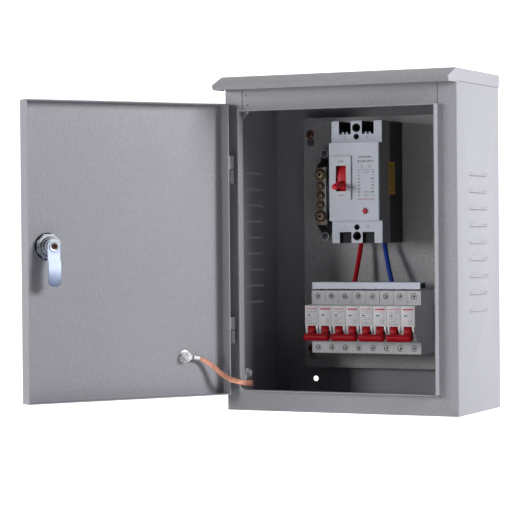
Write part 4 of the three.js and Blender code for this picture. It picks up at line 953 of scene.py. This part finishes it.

# screws of the earth bar and the plate: stepped heads with a groove and a recessed cross, both dark as painted shade
for nm, x, y, z, r, h, ring_, groove, core, turn in (
    ("terminal_bar_end_screw_1", 80.5, 104.9, 288.0, 7.3, 5.4, BRASS_DULL, 5.7, BRASS_PALE, 0.5),
    ("terminal_bar_end_screw_2", 80.5, 104.9, 235.8, 7.3, 5.4, COPPERY, 5.7, BRASS_PALE, 1.1),
    ("terminal_bar_screw_1", 80.5, 104.9, 273.9, 4.7, 3.8, COPPERY, 3.7, BRASS_PALE, 0.2),
    ("terminal_bar_screw_2", 80.5, 104.9, 262.2, 4.7, 3.8, COPPERY, 3.7, BRASS_PALE, 0.9),
    ("terminal_bar_screw_3", 80.5, 104.9, 250.4, 4.7, 3.8, BRASS_DULL, 3.7, BRASS_PALE, 0.6),
    ("foot_screw_upper", 79.0, 121.4, 314.3, 5.3, 3.2, HEAD, 3.9, HEAD_DIM, 0.3),
    ("foot_screw_lower", 79.0, 121.4, 210.7, 5.3, 3.2, HEAD, 3.9, HEAD_DIM, 0.8),
    ("plate_screw_1", 57.6, 126.2, 339.1, 5.6, 3.6, RUST_RING, 4.2, COPPERY, 0.4),
    ("plate_screw_2", 242.4, 126.2, 339.1, 5.6, 3.6, RUST_RING, 4.2, COPPERY, 0.9),
    ("plate_screw_3", 57.6, 126.2, 69.7, 5.6, 3.6, RUST_RING, 4.2, COPPERY, 0.1),
    ("plate_screw_4", 242.4, 126.2, 69.7, 5.6, 3.6, RUST_RING, 4.2, COPPERY, 1.2),
):
    b = Build(nm + "_head")
    low = h * (0.28 if ring_ is HEAD else 0.5)
    b.turned((x, y, z), (0, -1, 0), [(0, 0), (r, 0), (r, low * 0.7), (r - 0.35, low), (groove + 0.3, low + 0.1)], ring_, 36)
    b.turned((x, y, z), (0, -1, 0), [(groove + 0.3, low + 0.1), (groove - 0.2, low - 0.5), (groove - 0.75, low - 0.1)], DARK, 36)
    b.screw((x, y, z), (0, -1, 0), groove - 0.7, h, core, 0.58, turn, DARK)
    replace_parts(b.done("enclosure", "zinc" if ring_ is HEAD else "brass"), nm)

b = Build("lock_cam_screw_head", PD)
cy0 = SKIN + 21.1
b.turned((249.3, cy0, 202.3), (0, 1, 0), [(0, 0), (5.9, 0), (5.9, 0.6), (5.6, 0.9), (4.0, 0.95)], NUT, 36)
# dark groove and cross recess of the cam screw: painted shade
b.turned((249.3, cy0, 202.3), (0, 1, 0), [(4.0, 0.95), (3.6, 0.7), (3.2, 0.8)], DARK, 36)
b.screw((249.3, cy0, 202.3), (0, 1, 0), 3.25, 3.4, COPPERY, 0.6, 0.5, DARK)
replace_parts(b.done("lock", "brass"), "lock_cam_screw")

b = Build("rail_marks")
# a pale adhesive pad behind the strap's stud
b.turned(tuple(door_xyz(70.5, SKIN + 1.22, 67.0)), tuple(Vector(door_xyz(0, 1, 0)) - Vector(door_xyz(0, 0, 0))), [(0, 0), (7.4, 0), (7.55, 0.1), (7.4, 0.2), (6.5, 0.22)], ZINC, 40)
o = b.done("door", "zinc")

# thread grooves round the lock body and in the nut's recess, darkened as painted shade
b = Build("lock_thread_grooves", PD)
ax, az = 249.3, 202.3
b.turned((ax, SKIN + 6.34, az), (0, 1, 0), [(12.3, 0), (12.3, 0.06), (10.75, 0.06)], DARK, 40)
for q in range(4):
    b.turned((ax, SKIN + 11.0 + q * 1.55, az), (0, 1, 0), [(9.42, 0), (9.47, 0.15), (9.47, 0.55), (9.42, 0.7)], HEAD_DIM if q % 2 else DARK, 40)
b.done("door", "chrome")

# star washer teeth under the lock nut
b = Build("lock_star_washer", PD)
v, f = [], []
cnt = 48
for q in range(cnt):
    a = 2 * math.pi * q / cnt
    r = 14.9 if q % 2 else 13.9
    for rr, yy in ((11.4, SKIN + 7.35), (r, SKIN + 7.35), (r, SKIN + 7.0)):
        v.append((ax + rr * math.cos(a), yy, az + rr * math.sin(a)))
for q in range(cnt):
    j = (q + 1) % cnt
    f += [(q * 3, q * 3 + 1, j * 3 + 1, j * 3), (q * 3 + 1, q * 3 + 2, j * 3 + 2, j * 3 + 1)]
b.faces(v, f, ZINC)
b.done("door", "chrome")

# ------------------------------------------------------------------ studio
n_ = Nodes("sweep_grade")
n_.set(color=(0.8, 0.8, 0.8), rough=0.95, spec=0.1)
xyz = n_.n("SeparateXYZ")
n_.link(n_.c, xyz.inputs[0])
n_.b.inputs["Emission Color"].default_value = (1, 1, 1, 1)
n_.link(n_.span(xyz.outputs["Y"], 0.15, 1.3, 0.0, 1.02), n_.b.inputs["Emission Strength"])
SWEEP = n_.mat
rows = []
floor_z, back_y, rad_ = -0.62, 2.6, 1.6
prof = [(-5.5, floor_z)]
for k in range(0, 25):
    a = math.pi / 2 * k / 24
    prof.append((back_y - rad_ + rad_ * math.sin(a), floor_z + rad_ - rad_ * math.cos(a)))
prof.append((back_y, 4.6))
v, f = [], []
xs = [-6 + i * 0.5 for i in range(25)]
for yy, zz in prof:
    for x in xs:
        v.append((x, yy, zz))
nx = len(xs)
for k in range(len(prof) - 1):
    for i in range(nx - 1):
        f.append((k * nx + i, k * nx + i + 1, (k + 1) * nx + i + 1, (k + 1) * nx + i))
me = bpy.data.meshes.new("studio_sweep")
me.from_pydata(v, [], f)
me.materials.append(SWEEP)
for p in me.polygons:
    p.use_smooth = True
sweep = bpy.data.objects.new("studio_sweep", me)
bpy.context.scene.collection.objects.link(sweep)

world = bpy.data.worlds.new("studio_world")
bpy.context.scene.world = world
world.use_nodes = True
world.node_tree.nodes["Background"].inputs[0].default_value = (0.97, 0.98, 1.0, 1)
world.node_tree.nodes["Background"].inputs[1].default_value = 0.02


def area(name, loc, target, size, power, color=(1, 1, 1)):
    d = bpy.data.lights.new(name, "AREA")
    d.shape = "RECTANGLE"
    d.size, d.size_y = size
    d.energy = power
    d.color = color
    o = bpy.data.objects.new(name, d)
    o.location = loc
    o.rotation_euler = (Vector(target) - Vector(loc)).to_track_quat("-Z", "Y").to_euler()
    bpy.context.scene.collection.objects.link(o)
    return o


area("key_front_left", (-1.0599, -1.6713, 0.1325), (0, -0.1, 0.0), (0.35, 0.5), 9.6, (1.0, 0.99, 1.0))
area("fill_left", (-1.3905, -1.352, 0.3299), (0, -0.1, 0.0), (0.35, 0.5), 11.4, (1.0, 0.99, 1.0))
area("side_right", (1.6, -0.35, 0.6), (0, -0.1, 0.0), (0.5, 0.6), 28.4, (0.97, 0.98, 1.0))

sc = bpy.context.scene
sc.view_settings.view_transform = "Standard"
sc.view_settings.look = "None"
sc.view_settings.exposure = 0.0
sc.view_settings.gamma = 1.0
